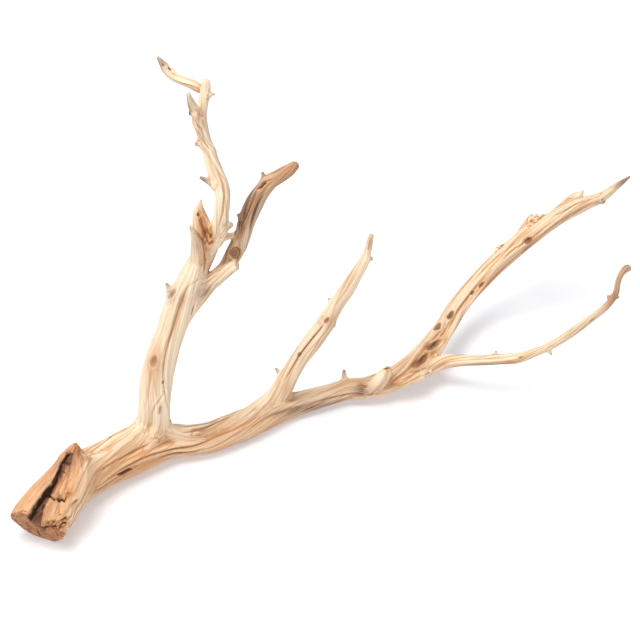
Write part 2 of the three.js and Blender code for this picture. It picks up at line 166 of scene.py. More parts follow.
class Limb:
    """A smooth course with its relief.

    Flutes are rows of (count, depth, phase, twist). Furrows are rows of (start and end along the
    limb, angle, drift of the angle, width, depth).
    """

    def __init__(self, name, rows, flutes=(), furrows=(), layer=0, sides=16):
        self.name, self.rows, self.flutes, self.furrows = name, rows, flutes, furrows
        self.layer, self.sides = layer, sides
        rough = through(rows[:, :3], np.linspace(0, 1, 200))
        length = np.linalg.norm(np.diff(rough, axis=0), axis=1).sum()
        self.t = np.linspace(0, 1, max(6, int(length / SAMPLE_GAP) + 1))
        self.middle = through(rows[:, :3], self.t)
        self.radius = np.maximum(through(rows[:, 3:], self.t, even=True)[:, 0], 0.3)
        steps = np.linalg.norm(np.diff(self.middle, axis=0), axis=1)
        self.distance = np.concatenate([[0], np.cumsum(steps)])
        self.length = self.distance[-1]
        self.along = unit(np.gradient(self.middle, axis=0))
        facing = self.along @ TO_VIEWER
        self.front = unit(TO_VIEWER - facing[:, None] * self.along)
        self.side = np.cross(self.along, self.front)
        self.taper = np.gradient(self.radius) / np.maximum(np.gradient(self.distance), 1e-6)

    def relief(self, t, angle):
        """The skin's height over the limb's plain radius, as a share of that radius."""
        height = np.zeros(len(t))
        for count, depth, phase, twist in self.flutes:
            height += depth * np.cos(count * angle + phase + twist * t)
        for start, end, at, drift, width, depth in self.furrows:
            along = np.clip((t - start) / (end - start), 0, 1)
            off = wrapped(angle - at - drift * along)
            height -= depth * np.sin(np.pi * along) * hump(off, width)
        return height

    def measure(self, points):
        """The nearest place on the limb for each point."""
        nearest = np.empty(len(points), int)
        middle = self.middle.astype(np.float32)
        lengths = (middle ** 2).sum(axis=1)
        for start in range(0, len(points), AT_ONCE):
            some = points[start:start + AT_ONCE].astype(np.float32)
            nearest[start:start + AT_ONCE] = np.argmin(lengths - 2 * some @ middle.T, axis=1)
        last = len(self.t) - 1
        away = points - self.middle[nearest]
        low_end = np.where(nearest == 0, 0, -SAMPLE_GAP)
        high_end = np.where(nearest == last, 0, SAMPLE_GAP)
        over = (away * self.along[nearest]).sum(axis=1)
        slide = np.clip(over, low_end, high_end)
        away = away - slide[:, None] * self.along[nearest]
        gap = np.linalg.norm(away, axis=1)
        return {
            "t": np.clip(self.t[nearest] + slide / max(self.length, 1e-6), 0, 1),
            "s": self.distance[nearest] + slide,
            "beyond": over - slide,
            "gap": gap,
            "out": away / np.maximum(gap, 1e-6)[:, None],
            "radius": self.radius[nearest] + self.taper[nearest] * slide,
            "angle": np.arctan2((away * self.side[nearest]).sum(axis=1),
                                (away * self.front[nearest]).sum(axis=1)),
        }

    def spot(self, px, py):
        """Where along the limb, and at what angle round it, its near face shows at a pixel."""
        out = (np.cos(TURNS_TRIED)[:, None] * self.front[:, None]
               + np.sin(TURNS_TRIED)[:, None] * self.side[:, None])
        near_face = self.middle[:, None] + out * self.radius[:, None, None]
        shown = pixel_of(near_face.reshape(-1, 3))
        miss = np.hypot(shown[:, 0] - px, shown[:, 1] - py)
        fair = np.flatnonzero(miss < max(1.2, miss.min() * 1.3))
        best = int(fair[np.argmax(near_face.reshape(-1, 3)[fair] @ TO_VIEWER)])
        k, turn = divmod(best, len(TURNS_TRIED))
        return k, float(TURNS_TRIED[turn])

    def outward(self, k, angle):
        """The direction away from the limb's middle, at an angle round it."""
        return self.front[k] * math.cos(angle) + self.side[k] * math.sin(angle)

    def skin(self, k, angle):
        """The point of the limb's own skin there."""
        share = 1 + self.relief(self.t[k:k + 1], np.array([angle]))[0]
        return self.middle[k] + self.outward(k, angle) * self.radius[k] * share


# %% [markdown]
# ## The limbs of this branch
#
# The lists below are the branch's own shape, read off station by station. The layer says in which
# of two wood patterns a limb grows: a limb and the one that it grows from take different ones, so
# that the grain of one can fade into the other's.

# %% The butt, the stem and the right arm
butt = Limb("butt", low(
    (76, 447, 64, 5), (71.3, 459, 59, 11.4), (64.8, 474, 51, 15.6), (57, 489, 41, 19.2),
    (48.5, 504, 32, 22.8), (40, 520, 24, 26.5), (33, 535, 18, 27.5), (27, 548, 13, 28)),
    flutes=[(3, 0.05, 0.6, 1), (6, 0.03, 0, 2)], layer=1, sides=20)
flank = Limb("flank", low(
    (85, 462, 42, 13), (77, 477, 41, 18), (68, 494, 37, 18.5), (60, 510, 31, 17),
    (54, 525, 25, 14), (49, 537, 20, 11)), layer=1)
stem = Limb("stem", low(
    (46, 508, 33, 18), (56, 497, 33, 21.5), (67, 486, 31.5, 23), (82, 474.5, 29, 23.2),
    (103, 464, 26, 22), (124, 455.5, 23.5, 21.2), (146, 448, 21, 19.6),
    (170, 441.5, 18, 16.8), (192, 440.5, 15.5, 15), (210, 438.3, 14, 14),
    (230, 431.5, 13.5, 14.2), (250, 422.5, 13.5, 14.6), (268, 413, 13.5, 14.2),
    (284, 407, 13, 13), (299, 402.8, 12.5, 11.4), (316, 398, 13, 10.4),
    (332, 393, 14.5, 10.1), (349, 388.5, 16, 10.2), (365, 387.3, 17.5, 10.2),
    (382, 383.5, 19, 11.4), (397, 377, 21, 12), (411, 367.5, 23, 12.2),
    (427.5, 351.5, 26, 11.4), (443.5, 330.5, 31, 10.2), (457.5, 308.5, 36, 9.8),
    (477, 284.5, 47, 9.2), (504.5, 256.3, 68, 9.6), (527.5, 237, 85, 9.8),
    (549, 222, 101, 8), (566.5, 211, 115, 7.8), (578, 205.6, 123, 7.6),
    (589, 201.5, 131, 6.2), (602.5, 196, 140, 5), (615.5, 186.7, 150, 3.4),
    (631, 175.8, 163, 0.8)),
    flutes=[(2, 0.04, 0.5, 9), (3, 0.07, 0.9, 14), (5, 0.06, 2.1, 10), (7, 0.03, 0.3, 18)],
    furrows=[(0.03, 0.2, -0.75, 0.3, 0.22, 0.16), (0.02, 0.24, 0.45, 0.35, 0.2, 0.1),
             (0.12, 0.42, 0.05, -0.5, 0.2, 0.14), (0.16, 0.4, 0.75, -0.3, 0.22, -0.09),
             (0.3, 0.5, -0.7, 0.6, 0.25, 0.12), (0.45, 0.62, 0.4, 0.9, 0.22, 0.14),
             (0.6, 0.85, -0.2, 1.2, 0.25, 0.13), (0.05, 0.35, 2.6, 0.5, 0.25, 0.16),
             (0.1, 0.45, 3.7, -0.6, 0.22, 0.14), (0.4, 0.75, 2.9, 0.9, 0.28, 0.15)],
    sides=20)

# %% The left arm and what grows from it
left_root = low(
    (42, 528, 21, 7), (52, 511, 26, 9), (63, 495, 30, 10.5), (75, 482, 32, 12),
    (89, 471.5, 32, 13.4), (104, 461.5, 31.5, 14.4), (118, 452.5, 31, 15.4),
    (134, 443.5, 30.5, 15.8), (146.5, 433.5, 33.5, 16), (152.8, 421, 44, 15.8))
left_arm = Limb("left_arm", np.vstack([left_root, tall(
    (155, 406, -198.5, 15.7), (155.6, 394, -196, 15.8), (157, 380, -192, 16.4),
    (160.3, 364, -188, 15.8),
    (167.2, 341, -184, 14.6), (171.3, 330, -181, 14.2), (178, 311, -177, 14.6),
    (187, 287, -171, 13.2), (194.5, 270, -167, 11.8), (200.5, 257, -164, 10.4),
    (205, 246, -162, 9.6))]),
    flutes=[(2, 0.04, 0.2, 5), (3, 0.05, 1.4, 6), (5, 0.035, 0.2, 7)],
    furrows=[(0.3, 0.65, -0.2, 0.3, 0.22, 0.12), (0.55, 0.98, 0.5, -0.6, 0.22, 0.14),
             (0.35, 0.8, -1.0, 0.5, 0.24, -0.08), (0.3, 0.7, 2.7, 0.5, 0.26, 0.16),
             (0.55, 0.95, 3.8, -0.5, 0.24, 0.14)], layer=1)
arm_web = Limb("arm_web", low(
    (157, 404, 60, 8), (159, 416, 48, 9), (165, 429, 36, 8), (175, 436, 29, 7.4),
    (188, 440, 23, 6), (203, 441, 18, 4)), layer=1)
side_arm = Limb("side_arm", tall(
    (183, 316, -176, 8), (190, 305, -173, 10.4), (198, 295, -170, 10.4), (207, 285.5, -168, 8.8),
    (215, 278.5, -168, 7.8), (224, 272, -168, 7), (231.5, 267, -169, 6),
    (236.5, 265, -170, 4.8)), flutes=[(2, 0.05, 0.4, 3), (5, 0.03, 0.4, 3)])
dark_arm = Limb("dark_arm", tall(
    (216, 279, -167, 6), (225.5, 268, -163, 6.9), (232.5, 257.5, -159, 7.9),
    (237, 249, -156, 8.2), (240.6, 241, -154, 7.8), (243.8, 232, -152, 7.5),
    (246.5, 222, -151, 7.8), (250.5, 211, -151, 8.3), (255.5, 201, -150, 8.4),
    (262, 191, -148, 7.6), (270, 181.5, -144, 7.2), (280, 175.5, -139, 6.7),
    (288.5, 170, -134, 6.2), (294, 165.8, -131, 4.9)),
    flutes=[(2, 0.06, 1.2, 4), (5, 0.045, 0.4, 5)],
    furrows=[(0.3, 0.95, -0.3, 0.5, 0.3, 0.14), (0.2, 0.9, 2.8, 0.6, 0.35, 0.16)], layer=1)
upper_arm = Limb("upper_arm", tall(
    (203.5, 252, -163, 8), (211, 243, -164, 8.6), (217, 233, -165, 8.8),
    (219.5, 222, -166, 7.9), (221.5, 207, -165, 7.2), (222.5, 195, -162, 7.2),
    (220, 183, -157, 7.4), (215.5, 172, -152, 7.6), (211, 158, -147, 7.2),
    (209, 150, -144, 7.6), (205.5, 143, -142, 6.8), (202, 131, -139, 6.6),
    (199.5, 120, -137, 6.9), (201.5, 108, -135, 5.4), (203.7, 98, -132, 5.2),
    (205.5, 88, -128, 5), (206, 80.5, -126, 3.6)),
    flutes=[(2, 0.05, 2.2, 7), (3, 0.05, 0.4, 9), (5, 0.03, 1.4, 9)],
    furrows=[(0.05, 0.45, 0.5, -0.3, 0.3, 0.15), (0.3, 0.85, -0.5, 0.8, 0.3, 0.12),
             (0.15, 0.7, 2.8, 0.9, 0.35, 0.15)])
top_branch = Limb("top_branch", tall(
    (206, 92, -124, 3.6), (199, 88.5, -123.5, 5), (190, 84, -122.5, 5.2),
    (180, 80, -120.5, 5), (172, 75.5, -118.5, 4.9), (166, 69, -117, 4.5),
    (161, 61.5, -116, 2.7), (156, 54.8, -115, 0.7)), flutes=[(3, 0.07, 0.4, 5)], layer=1)
top_fork = Limb("top_fork", tall(
    (199.5, 123, -138, 5.4), (195.5, 113, -140, 4.9), (191.5, 104, -142, 4.2),
    (188, 93, -144, 1.7)), flutes=[(3, 0.06, 0.4, 2)], layer=1)
torn_stub = Limb("torn_stub", tall(
    (203, 272, -157, 5), (204, 261, -158.5, 8.4), (205.5, 248, -160, 10.3), (204, 233, -159, 9.6),
    (201.2, 220, -157, 8), (199.6, 211, -156, 5.6), (200.4, 203.5, -154, 2.3),
    (202.6, 196.5, -152, 0.5)), flutes=[(5, 0.05, 0.4, 2)], layer=1)
horn = Limb("horn", tall(
    (201, 276, -163, 5), (199.5, 265, -167, 7.6), (198.5, 252, -170.5, 7.8), (197, 241, -173, 5.8),
    (193.3, 232.5, -174, 3.4), (189.8, 225, -175, 0.9)))

# %% The twigs, lobes and short stubs
middle_root = low(
    (218, 434, 14.5, 6), (234, 427, 16.5, 7.6), (249, 418.5, 18, 8.8), (263, 409, 20, 9.6),
    (274.5, 399, 24, 10.2))
middle_twig = Limb("middle_twig", np.vstack([middle_root, tall(
    (282, 388.5, -141.5, 10), (287.8, 378, -139, 9.3),
    (294, 367.5, -136, 8.8), (300.8, 357.3, -133, 8.6), (312.5, 341.5, -128, 9),
    (323.3, 326.5, -123, 8.5), (330.8, 314, -118, 7.6), (338.6, 301.3, -113, 7.2),
    (347.8, 288.3, -109, 7), (356.6, 273.4, -104, 6.2), (363.6, 261.8, -100, 5.4),
    (367.5, 251, -97, 3.9), (369.5, 243, -95, 3.4), (371.5, 235, -93, 2.5))]),
    flutes=[(2, 0.05, 0.2, 5), (3, 0.045, 1.4, 8), (5, 0.03, 0.2, 8)],
    furrows=[(0.3, 0.7, 0.0, -0.1, 0.22, 0.13), (0.4, 0.9, 2.8, 0.8, 0.35, 0.15)], layer=1)
right_twig = Limb("right_twig", low(
    (410, 378, 18, 4.4), (420, 373.5, 20, 5.4), (431, 367.5, 24, 6.4), (444, 361.5, 28, 6.8),
    (457.7, 360.2, 32, 5.6),
    (475, 360.2, 37, 4.9), (500, 359.4, 42, 4.8), (517.6, 358, 44, 5),
    (534, 352.5, 45, 4.3), (552, 345, 46, 4), (569, 334.5, 46, 4.4),
    (586, 322, 46, 4.2), (604, 308, 47, 3.6), (611, 300, 48, 3.4), (616, 292, 50, 3.1),
    (617.7, 283, 53, 2.9), (621, 274, 56, 3), (625.8, 268.8, 58, 3.6), (629, 267.5, 59, 3.2)),
    flutes=[(2, 0.06, 0.2, 9), (3, 0.05, 0.2, 12)], layer=1, sides=10)
upper_lobe = Limb("upper_lobe", tall(
    (366, 391, -124, 5), (373, 386, -126, 7), (380.5, 379, -127, 7.2), (386, 372.5, -126, 5.6),
    (389, 368, -125, 3)), flutes=[(3, 0.04, 0.4, 0.6)], layer=1)
lower_lobe = Limb("lower_lobe", low(
    (392, 383, 19, 3.5), (402, 382.5, 23.5, 4.6), (412, 378.5, 26.5, 5), (421.5, 375, 29, 4.4),
    (431.5, 371, 30.5, 2)),
    flutes=[(5, 0.12, 0.4, 0.6)], layer=1)
upper_stub = Limb("upper_stub", tall(
    (217, 234, -166, 5), (224, 229.5, -168, 3.6), (231, 224.5, -170, 2.9)), layer=1)
hidden_end = Limb("hidden_end", tall(
    (215, 241, -163, 6), (224, 237, -158, 4.2), (233, 235.4, -152, 3)), layer=1)
flat_stub = Limb("flat_stub", low(
    (524, 236, 85, 7), (529.5, 226, 89, 7.6), (533, 219.5, 93, 6), (537, 215.5, 96, 2.4)))
fin = Limb("fin", low(
    (560, 211.5, 111, 6), (570, 203, 120, 6.6), (577.5, 197, 127, 5), (583.5, 190.2, 134, 0.8)))

limbs = [stem, butt, flank, left_arm, arm_web, side_arm, dark_arm, upper_arm, top_branch, top_fork,
         torn_stub, horn, middle_twig, right_twig, upper_lobe, lower_lobe, upper_stub,
         hidden_end, flat_stub, fin]
print(len(limbs), "limbs,", round(sum(limb.length for limb in limbs)), "mm of them in all")

# %% [markdown]
# ## Thorns and broken spurs
#
# A spur is a short limb with a wide foot. Those that the picture shows are given by the pixels
# of their foot and tip. Those on the far side are placed along and round a limb, by guess, so
# that the branch looks grown from every side. One of them is a stub that the branch rests on.

# %% Grow the spurs
FIRST_SPUR = len(limbs)


def thorn(parent, root, tip, root_radius, tip_radius):
    """A short limb from a root to a tip, whose radius shrinks fastest at its foot."""
    share = np.array([0, 0.35, 0.7, 1])
    middle = root + (tip - root) * share[:, None]
    radius = tip_radius + (root_radius - tip_radius) * (1 - share) ** 1.5
    rows = np.column_stack([middle, radius])
    limbs.append(Limb(parent.name + "_spur", rows, layer=1 - parent.layer, sides=8))


def spur(parent, root, tip, root_radius, tip_radius):
    """A thorn whose root and tip are given as pixels."""
    k, _ = parent.spot(*root)
    middle = parent.middle[k]
    thorn(parent, beside(*root, middle), beside(*tip, middle), root_radius, tip_radius)


def hidden_spur(parent, t, angle, length, root_radius, tip_radius, lean=0.4):
    """A thorn placed along and round a limb, which leans towards the limb's end."""
    k = int(t * (len(parent.t) - 1))
    outward = parent.outward(k, angle)
    root = parent.middle[k] + outward * parent.radius[k] * 0.5
    tip = parent.skin(k, angle) + outward * length + parent.along[k] * lean * length
    thorn(parent, root, tip, root_radius, tip_radius)


# (limb, root's pixel, tip's pixel, radius at the root, radius at the tip)
SPURS = [
    (stem, (344.5, 382), (343.9, 369.3), 4.2, 1.3), (stem, (496.5, 250), (501.6, 243.2), 3, 0.8),
    (stem, (536, 221), (544.4, 213), 3, 0.7), (stem, (599, 196), (603.6, 203), 3.2, 1.6),
    (right_twig, (495, 358), (496, 349.3), 3.6, 0.8),
    (right_twig, (547, 347), (552, 356), 3.6, 0.9),
    (right_twig, (613, 296), (619, 297.5), 2.6, 1.2),
    (middle_twig, (283, 378), (274.6, 366.8), 4.6, 0.8),
    (middle_twig, (332.5, 304), (327.4, 297), 3.6, 0.8),
    (middle_twig, (367, 259), (373.4, 258.5), 3.2, 1.5),
    (left_arm, (174, 297), (165.6, 282.4), 7.5, 1.1), (butt, (71, 459), (75.8, 442.6), 9, 0.9),
    (top_fork, (196, 114), (189.8, 113), 4, 2), (top_branch, (172, 76), (173.5, 68), 3.6, 0.8),
    (right_twig, (612, 298), (606, 296), 3.6, 1), (middle_twig, (324, 324), (333.5, 322), 7, 3.4),
    (upper_arm, (215, 184), (198.5, 176.8), 5.4, 1.0),
    (upper_arm, (204, 144), (195.4, 143.5), 4, 1.8),
    (upper_arm, (206, 96), (215.6, 93.6), 3.4, 0.9),
    (top_branch, (165, 68), (167.3, 61.6), 2, 0.6),
    (dark_arm, (245, 223), (235.6, 212.2), 4.4, 0.7),
    (dark_arm, (265, 183), (262, 171), 4.2, 1),
]
# (limb, share along it, angle round it, length, radius at the root, radius at the tip, lean)
HIDDEN_SPURS = [
    (stem, 0.28, 3.36, 14, 7, 3.6, 0.1), (stem, 0.58, 3.4, 8, 4, 1.2),
    (stem, 0.8, 2.9, 7, 3.4, 0.9), (left_arm, 0.7, 3.5, 9, 5, 1.4),
    (middle_twig, 0.62, 2.9, 6, 3.4, 0.9), (upper_arm, 0.35, 3.3, 6, 3.4, 0.9),
]
for row in SPURS:
    spur(*row)
for row in HIDDEN_SPURS:
    hidden_spur(*row)
print(len(limbs), "limbs with the spurs")

# %% [markdown]
# ## What was cut, torn and rotted away
#
# The butt has a trough along it, open at the sawn end, with plates of wood broken off its right
# wall. A torn branch beside the upper arm has lost its front. These hollows are drawn as limbs
# too, but they take wood away.

# %% The hollows and the saw cut
trough = Limb("trough", low(
    (71, 454, 68.5, 1.6), (68.5, 459.5, 66, 3.4), (65.5, 467, 62.5, 5), (62.5, 476, 58.5, 6),
    (58.5, 486, 54, 7.2), (52, 496, 48, 8.2), (46.5, 506, 43, 9.6), (41, 517, 37.5, 11),
    (36.5, 529, 32, 12.4), (30.5, 545, 27, 13)), sides=14)
torn_face = Limb("torn_face", tall(
    (199.5, 206, -162, 3), (200.5, 216, -166, 5.5), (203, 226, -170, 6.5),
    (206.5, 236, -172, 6), (209.5, 245, -174, 3.5)), sides=10)
end_break = Limb("end_break", low(
    (38, 528, 37, 2.4), (47, 527, 38, 3), (57, 524.5, 37.5, 3), (67, 521, 35, 2.6)), sides=8)
upper_plate = Limb("upper_plate", low(
    (80, 457, 56, 6.4), (78.5, 467, 54, 9.5), (76, 478.5, 50.5, 12), (72, 489.5, 46, 12.6),
    (68.5, 496.5, 43, 12.6)), flutes=[(7, 0.05, 0.4, 0.6)], layer=1)
lower_plate = Limb("lower_plate", low(
    (66, 495, 38, 11.4), (62, 506, 36, 12.6), (58, 517, 32.5, 13), (54.5, 526, 30, 13)),
    flutes=[(7, 0.05, 1.4, 0.6)], layer=1)
plates = [upper_plate, lower_plate]
hollows = [trough, torn_face, end_break]
FLAT_ENDED = ("upper_plate", "lower_plate", "end_break")
saw_spot = low((38, 526, 25, 1))[0, :3]
saw_facing = unit(np.array([-0.38, -0.85, -0.37]))
print("the sawn face's middle, in mm:", saw_spot.round(1))

# %% [markdown]
# ## Rings into limbs, limbs into one skin
#
# A limb could be a curve with a bevel. Rings that are extruded one from the next are closer to
# how a branch grows, and each can be sized by itself, so that way is used. The limbs overlap, as
# clay coils do, and a voxel remesh fuses them into one closed skin with even faces. The hollows
# are subtracted from it, and a second, finer remesh gives the skin that is sculpted.

# %% Build a limb from rings
RING_GAP = 3.0
DOME = 2.2
DOME_LIFTS = (0.5, 0.85)
BLUNT = {"upper_lobe": 6.0, "side_arm": 6.0, "dark_arm": 1.1}
FUSE_VOXEL = 1.5 * MM
SKIN_VOXEL = 0.82 * MM
SAW_BLOCK = 120.0


def ring_corners(limb, k):
    turn = np.arange(limb.sides) * 2 * np.pi / limb.sides
    out = np.outer(np.cos(turn), limb.front[k]) + np.outer(np.sin(turn), limb.side[k])
    return (limb.middle[k] + out * limb.radius[k]) * MM


def grow_ring(bm, edges, places):
    """Extrudes a ring of edges, puts the new corners in their places and gives the new ring."""
    grown = bmesh.ops.extrude_edge_only(bm, edges=edges)["geom"]
    new = [item for item in grown if isinstance(item, bmesh.types.BMVert)]
    for corner, place in zip(new, places):
        corner.co = place
    return [item for item in grown if isinstance(item, bmesh.types.BMEdge)]


def add_limb(bm, limb):
    """Extrudes ring after ring along a limb, and closes both ends."""
    count = max(4, int(limb.length / RING_GAP))
    stops = np.linspace(0, len(limb.t) - 1, count).astype(int)
    ring = bmesh.ops.create_circle(bm, segments=limb.sides, radius=1, cap_ends=False)["verts"]
    edges = list({edge for vert in ring for edge in vert.link_edges})
    bmesh.ops.contextual_create(bm, geom=edges)
    for corner, place in zip(ring, ring_corners(limb, stops[0])):
        corner.co = place
    for k in stops[1:]:
        edges = grow_ring(bm, edges, ring_corners(limb, k))
    if limb.name not in FLAT_ENDED:
        dome = float(limb.radius[-1]) / BLUNT.get(limb.name, DOME)
        last_ring = ring_corners(limb, -1)
        tip = limb.middle[-1] * MM
        for lift in DOME_LIFTS:
            shrunk = (last_ring - tip) * math.sqrt(1 - lift ** 2)
            edges = grow_ring(bm, edges, tip + shrunk + limb.along[-1] * dome * lift * MM)
    bmesh.ops.contextual_create(bm, geom=edges)


def new_object(name, data):
    made = bpy.data.objects.new(name, data)
    bpy.context.scene.collection.objects.link(made)
    return made


def object_from(bm, name):
    """An object of the scene with a finished bmesh as its mesh."""
    mesh = bpy.data.meshes.new(name)
    bm.to_mesh(mesh)
    bm.free()
    return new_object(name, mesh)


def limbs_object(name, members):
    bm = bmesh.new()
    for limb in members:
        add_limb(bm, limb)
    bmesh.ops.recalc_face_normals(bm, faces=bm.faces)
    return object_from(bm, name)


def saw_block():
    """A block whose near face is the saw cut."""
    bm = bmesh.new()
    bmesh.ops.create_cube(bm, size=SAW_BLOCK * MM)
    turn = Vector((0, 0, 1)).rotation_difference(Vector(saw_facing)).to_matrix().to_4x4()
    middle = (saw_spot + saw_facing * SAW_BLOCK / 2) * MM
    bmesh.ops.transform(bm, matrix=Matrix.Translation(middle) @ turn, verts=bm.verts)
    return object_from(bm, "saw_block")


def remesh(target, voxel):
    modifier = target.modifiers.new("fuse", "REMESH")
    modifier.mode = "VOXEL"
    modifier.voxel_size = voxel


def combine(target, other, operation):
    modifier = target.modifiers.new("combine", "BOOLEAN")
    modifier.operation = operation
    modifier.solver = "MANIFOLD"
    modifier.object = other


def settle(target):
    """Applies every modifier of an object."""
    view = bpy.context.evaluated_depsgraph_get()
    finished = bpy.data.meshes.new_from_object(target.evaluated_get(view))
    target.modifiers.clear()
    target.data = finished


wood = limbs_object("driftwood_skin", limbs)
cutters = [limbs_object(hollow.name, [hollow]) for hollow in hollows]
inlays = [limbs_object(plate.name, [plate]) for plate in plates]
saw = saw_block()
remesh(wood, FUSE_VOXEL)
for cutter in cutters:
    combine(wood, cutter, "DIFFERENCE")
for inlay in inlays:
    combine(wood, inlay, "UNION")
combine(wood, saw, "DIFFERENCE")
remesh(wood, SKIN_VOXEL)
settle(wood)
for helper in cutters + inlays + [saw]:
    bpy.data.objects.remove(helper)
print("skin:", len(wood.data.vertices), "corners after", round(time.time() - started, 1), "s")

# %% [markdown]
# ## Pull the skin smooth
#
# Where limbs meet, real wood has no seam: the fibres of one sweep into the other and fill the
# crotch. So the branch is also written as a field, which tells for any point how far it lies
# outside the wood. Limbs join in the field with a soft seam, hollows cut it with a sharp one,
# and each corner of the skin slides along the field's slope until it lies on the surface.

# %% The branch as a field
SHARP = {"trough": 1.4, "torn_face": 2.0, "end_break": 0.8}
FAR_OFF = 60.0
BUTT_REACH = -200
BUTT_SEAM, HIDDEN_SEAM, HIDDEN_SPREAD = 4.0, 7, 1.6
BROAD_SEAM, NARROW_SEAM, SEAM_SHARE = 9.0, 2.5, 0.75
PLATE_SEAM, SAW_SEAM = 6.0, 1.0
ROUNDS, LONGEST_SLIDE = 3, 1.6
JOIN, CUT = 1, -1


def meet(gap, slope, rows, new, new_slope, seam, way=JOIN):
    """Joins a shape to the field or cuts it out, with a seam of some softness."""
    share = np.clip(0.5 + 0.5 * way * (gap[rows] - new) / seam, 0, 1)
    gap[rows] += (new - gap[rows]) * share - way * seam * share * (1 - share)
    slope[rows] += (new_slope - slope[rows]) * share[:, None]


def close_to(limb, points, margin=14.0):
    """The rows of the points that a limb can reach."""
    room = limb.radius.max() * 1.3 + margin
    low_corner, high_corner = limb.middle.min(axis=0) - room, limb.middle.max(axis=0) + room
    return np.flatnonzero(((points > low_corner) & (points < high_corner)).all(axis=1))


def near(limb, points, margin=14.0):
    """The rows of the points that a limb can reach, and where they lie on it."""
    rows = close_to(limb, points, margin)
    return rows, limb.measure(points[rows])


def shell(limb, found):
    """How far points lie outside a limb's skin."""
    skin = found["radius"] * (1 + limb.relief(found["t"], found["angle"]))
    across = np.sqrt(np.maximum(found["gap"] ** 2 - found["beyond"] ** 2, 0))
    if limb.name in FLAT_ENDED:
        ragged = 1.4 * np.sin(found["angle"] * 5 + 1) + 0.8 * np.sin(found["angle"] * 11)
        over = np.abs(found["beyond"])
        return np.maximum(across - skin, np.where(over > 0, over - 1.6 + ragged, -9))
    dome = BLUNT.get(limb.name, DOME)
    return np.hypot(across, dome * found["beyond"]) - skin


def seam_of(limb, found):
    """The softness of the seam between a limb and what it grows from, in millimetres."""
    if limb in (butt, flank):
        hidden = np.clip(-HIDDEN_SPREAD * (found["out"] @ TO_VIEWER), 0, 1)
        return BUTT_SEAM + HIDDEN_SEAM * hidden
    if limb in (left_arm, middle_twig, right_twig):
        return BROAD_SEAM
    return min(BROAD_SEAM, max(NARROW_SEAM, SEAM_SHARE * float(limb.radius[0])))


def field(points):
    """How far points lie outside the wood, and the way in which that grows."""
    gap = np.full(len(points), FAR_OFF)
    slope = np.zeros_like(points)
    for limb in limbs:
        rows, found = near(limb, points)
        meet(gap, slope, rows, shell(limb, found), found["out"], seam_of(limb, found))
    for hollow in hollows:
        rows, found = near(hollow, points)
        outside = shell(hollow, found)
        meet(gap, slope, rows, -outside, -found["out"], SHARP[hollow.name], CUT)
    for plate in plates:
        rows, found = near(plate, points)
        meet(gap, slope, rows, shell(plate, found), found["out"], PLATE_SEAM)
    sawn = (points - saw_spot) @ saw_facing
    rows = np.flatnonzero((sawn > -12) & (points[:, 0] < BUTT_REACH))
    sawn = sawn[rows]
    meet(gap, slope, rows, sawn, np.tile(saw_facing, (len(rows), 1)), SAW_SEAM, CUT)
    return gap, unit(slope)


def corners_of(mesh):
    """The corners of a mesh, in millimetres."""
    flat = np.empty(len(mesh.vertices) * 3)
    mesh.vertices.foreach_get("co", flat)
    return flat.reshape(-1, 3) / MM


skin = corners_of(wood.data)
for _ in range(ROUNDS):
    gap, slope = field(skin)
    skin -= slope * np.clip(gap, -LONGEST_SLIDE, LONGEST_SLIDE)[:, None]
print("left to go, in mm:", np.abs(field(skin)[0]).mean().round(3),
      "after", round(time.time() - started, 1), "s")

# %% [markdown]
# ## The wood's own coordinates
#
# Grain runs along each limb, so every corner of the skin gets coordinates in a straightened
# log: two across the limb and one along it. A limb and its parent use different layers, and a
# weight fades one layer into the other across the seam. Round an eye the across coordinate is
# bent, like water round a stone, so every line that is drawn later flows round it.

# %% Where the eyes are
# (limb, pixel across and down, length, width, depth, how dark, and sometimes a lean)
EYES = [
    (stem, 422, 361, 20, 6.2, 3.0, 0.8), (stem, 434, 345.3, 23, 7.0, 2.8, 0.75, 0.3),
    (stem, 436.5, 327, 13, 6.4, 2.6, 0.8), (stem, 450, 314.5, 12.5, 6.0, 2.6, 0.75),
    (stem, 528, 241, 9, 6.4, 1.8, 0.85), (stem, 360, 383, 14, 6.5, 0.5, 0.1),
    (stem, 443, 354, 8, 3.4, 2, 0.7), (stem, 474, 292.5, 7, 3.4, 1.5, 0.7),
    (stem, 482, 285.5, 10, 3.2, 1.6, 0.7), (left_arm, 153.5, 361, 14, 6.4, 1.6, 0.5),
    (left_arm, 164.5, 383, 4.5, 2.4, 1, 0.7), (left_arm, 161.5, 411, 8, 3.2, 1.2, 0.4),
    (left_arm, 170.5, 294, 11, 6, 1, 0.5), (dark_arm, 235.3, 253, 10.5, 9.5, 1.0, 0.85),
    (dark_arm, 262, 184, 9, 3.5, 1.6, 0.8), (middle_twig, 328, 321, 7, 4.5, 1.4, 0.6),
    (middle_twig, 298.5, 354, 5, 3.6, 1.2, 0.7), (right_twig, 520, 357, 5, 2.6, 0.8, 0.4),
]
# the same on the far side, placed by the share along the limb and the angle round it
HIDDEN_EYES = [
    (stem, 0.24, 3.0, 18, 9, 3, 0.7), (stem, 0.52, 2.6, 14, 7, 2.4, 0.7),
    (stem, 0.7, 3.3, 12, 6, 1.8, 0.6), (left_arm, 0.55, 3.0, 14, 8, 2.4, 0.7),
    (left_arm, 0.87, 2.6, 10, 6, 1.8, 0.6), (middle_twig, 0.55, 3.0, 10, 5, 1.6, 0.6),
    (upper_arm, 0.55, 3.1, 9, 4.5, 1.4, 0.6),
]
eyes = [(limb, *limb.spot(px, py), *size) for limb, px, py, *size in EYES]
eyes += [(limb, int(t * (len(limb.t) - 1)), angle, *size)
         for limb, t, angle, *size in HIDDEN_EYES]
print(len(eyes), "eyes,", len(HIDDEN_EYES), "of them on the far side")

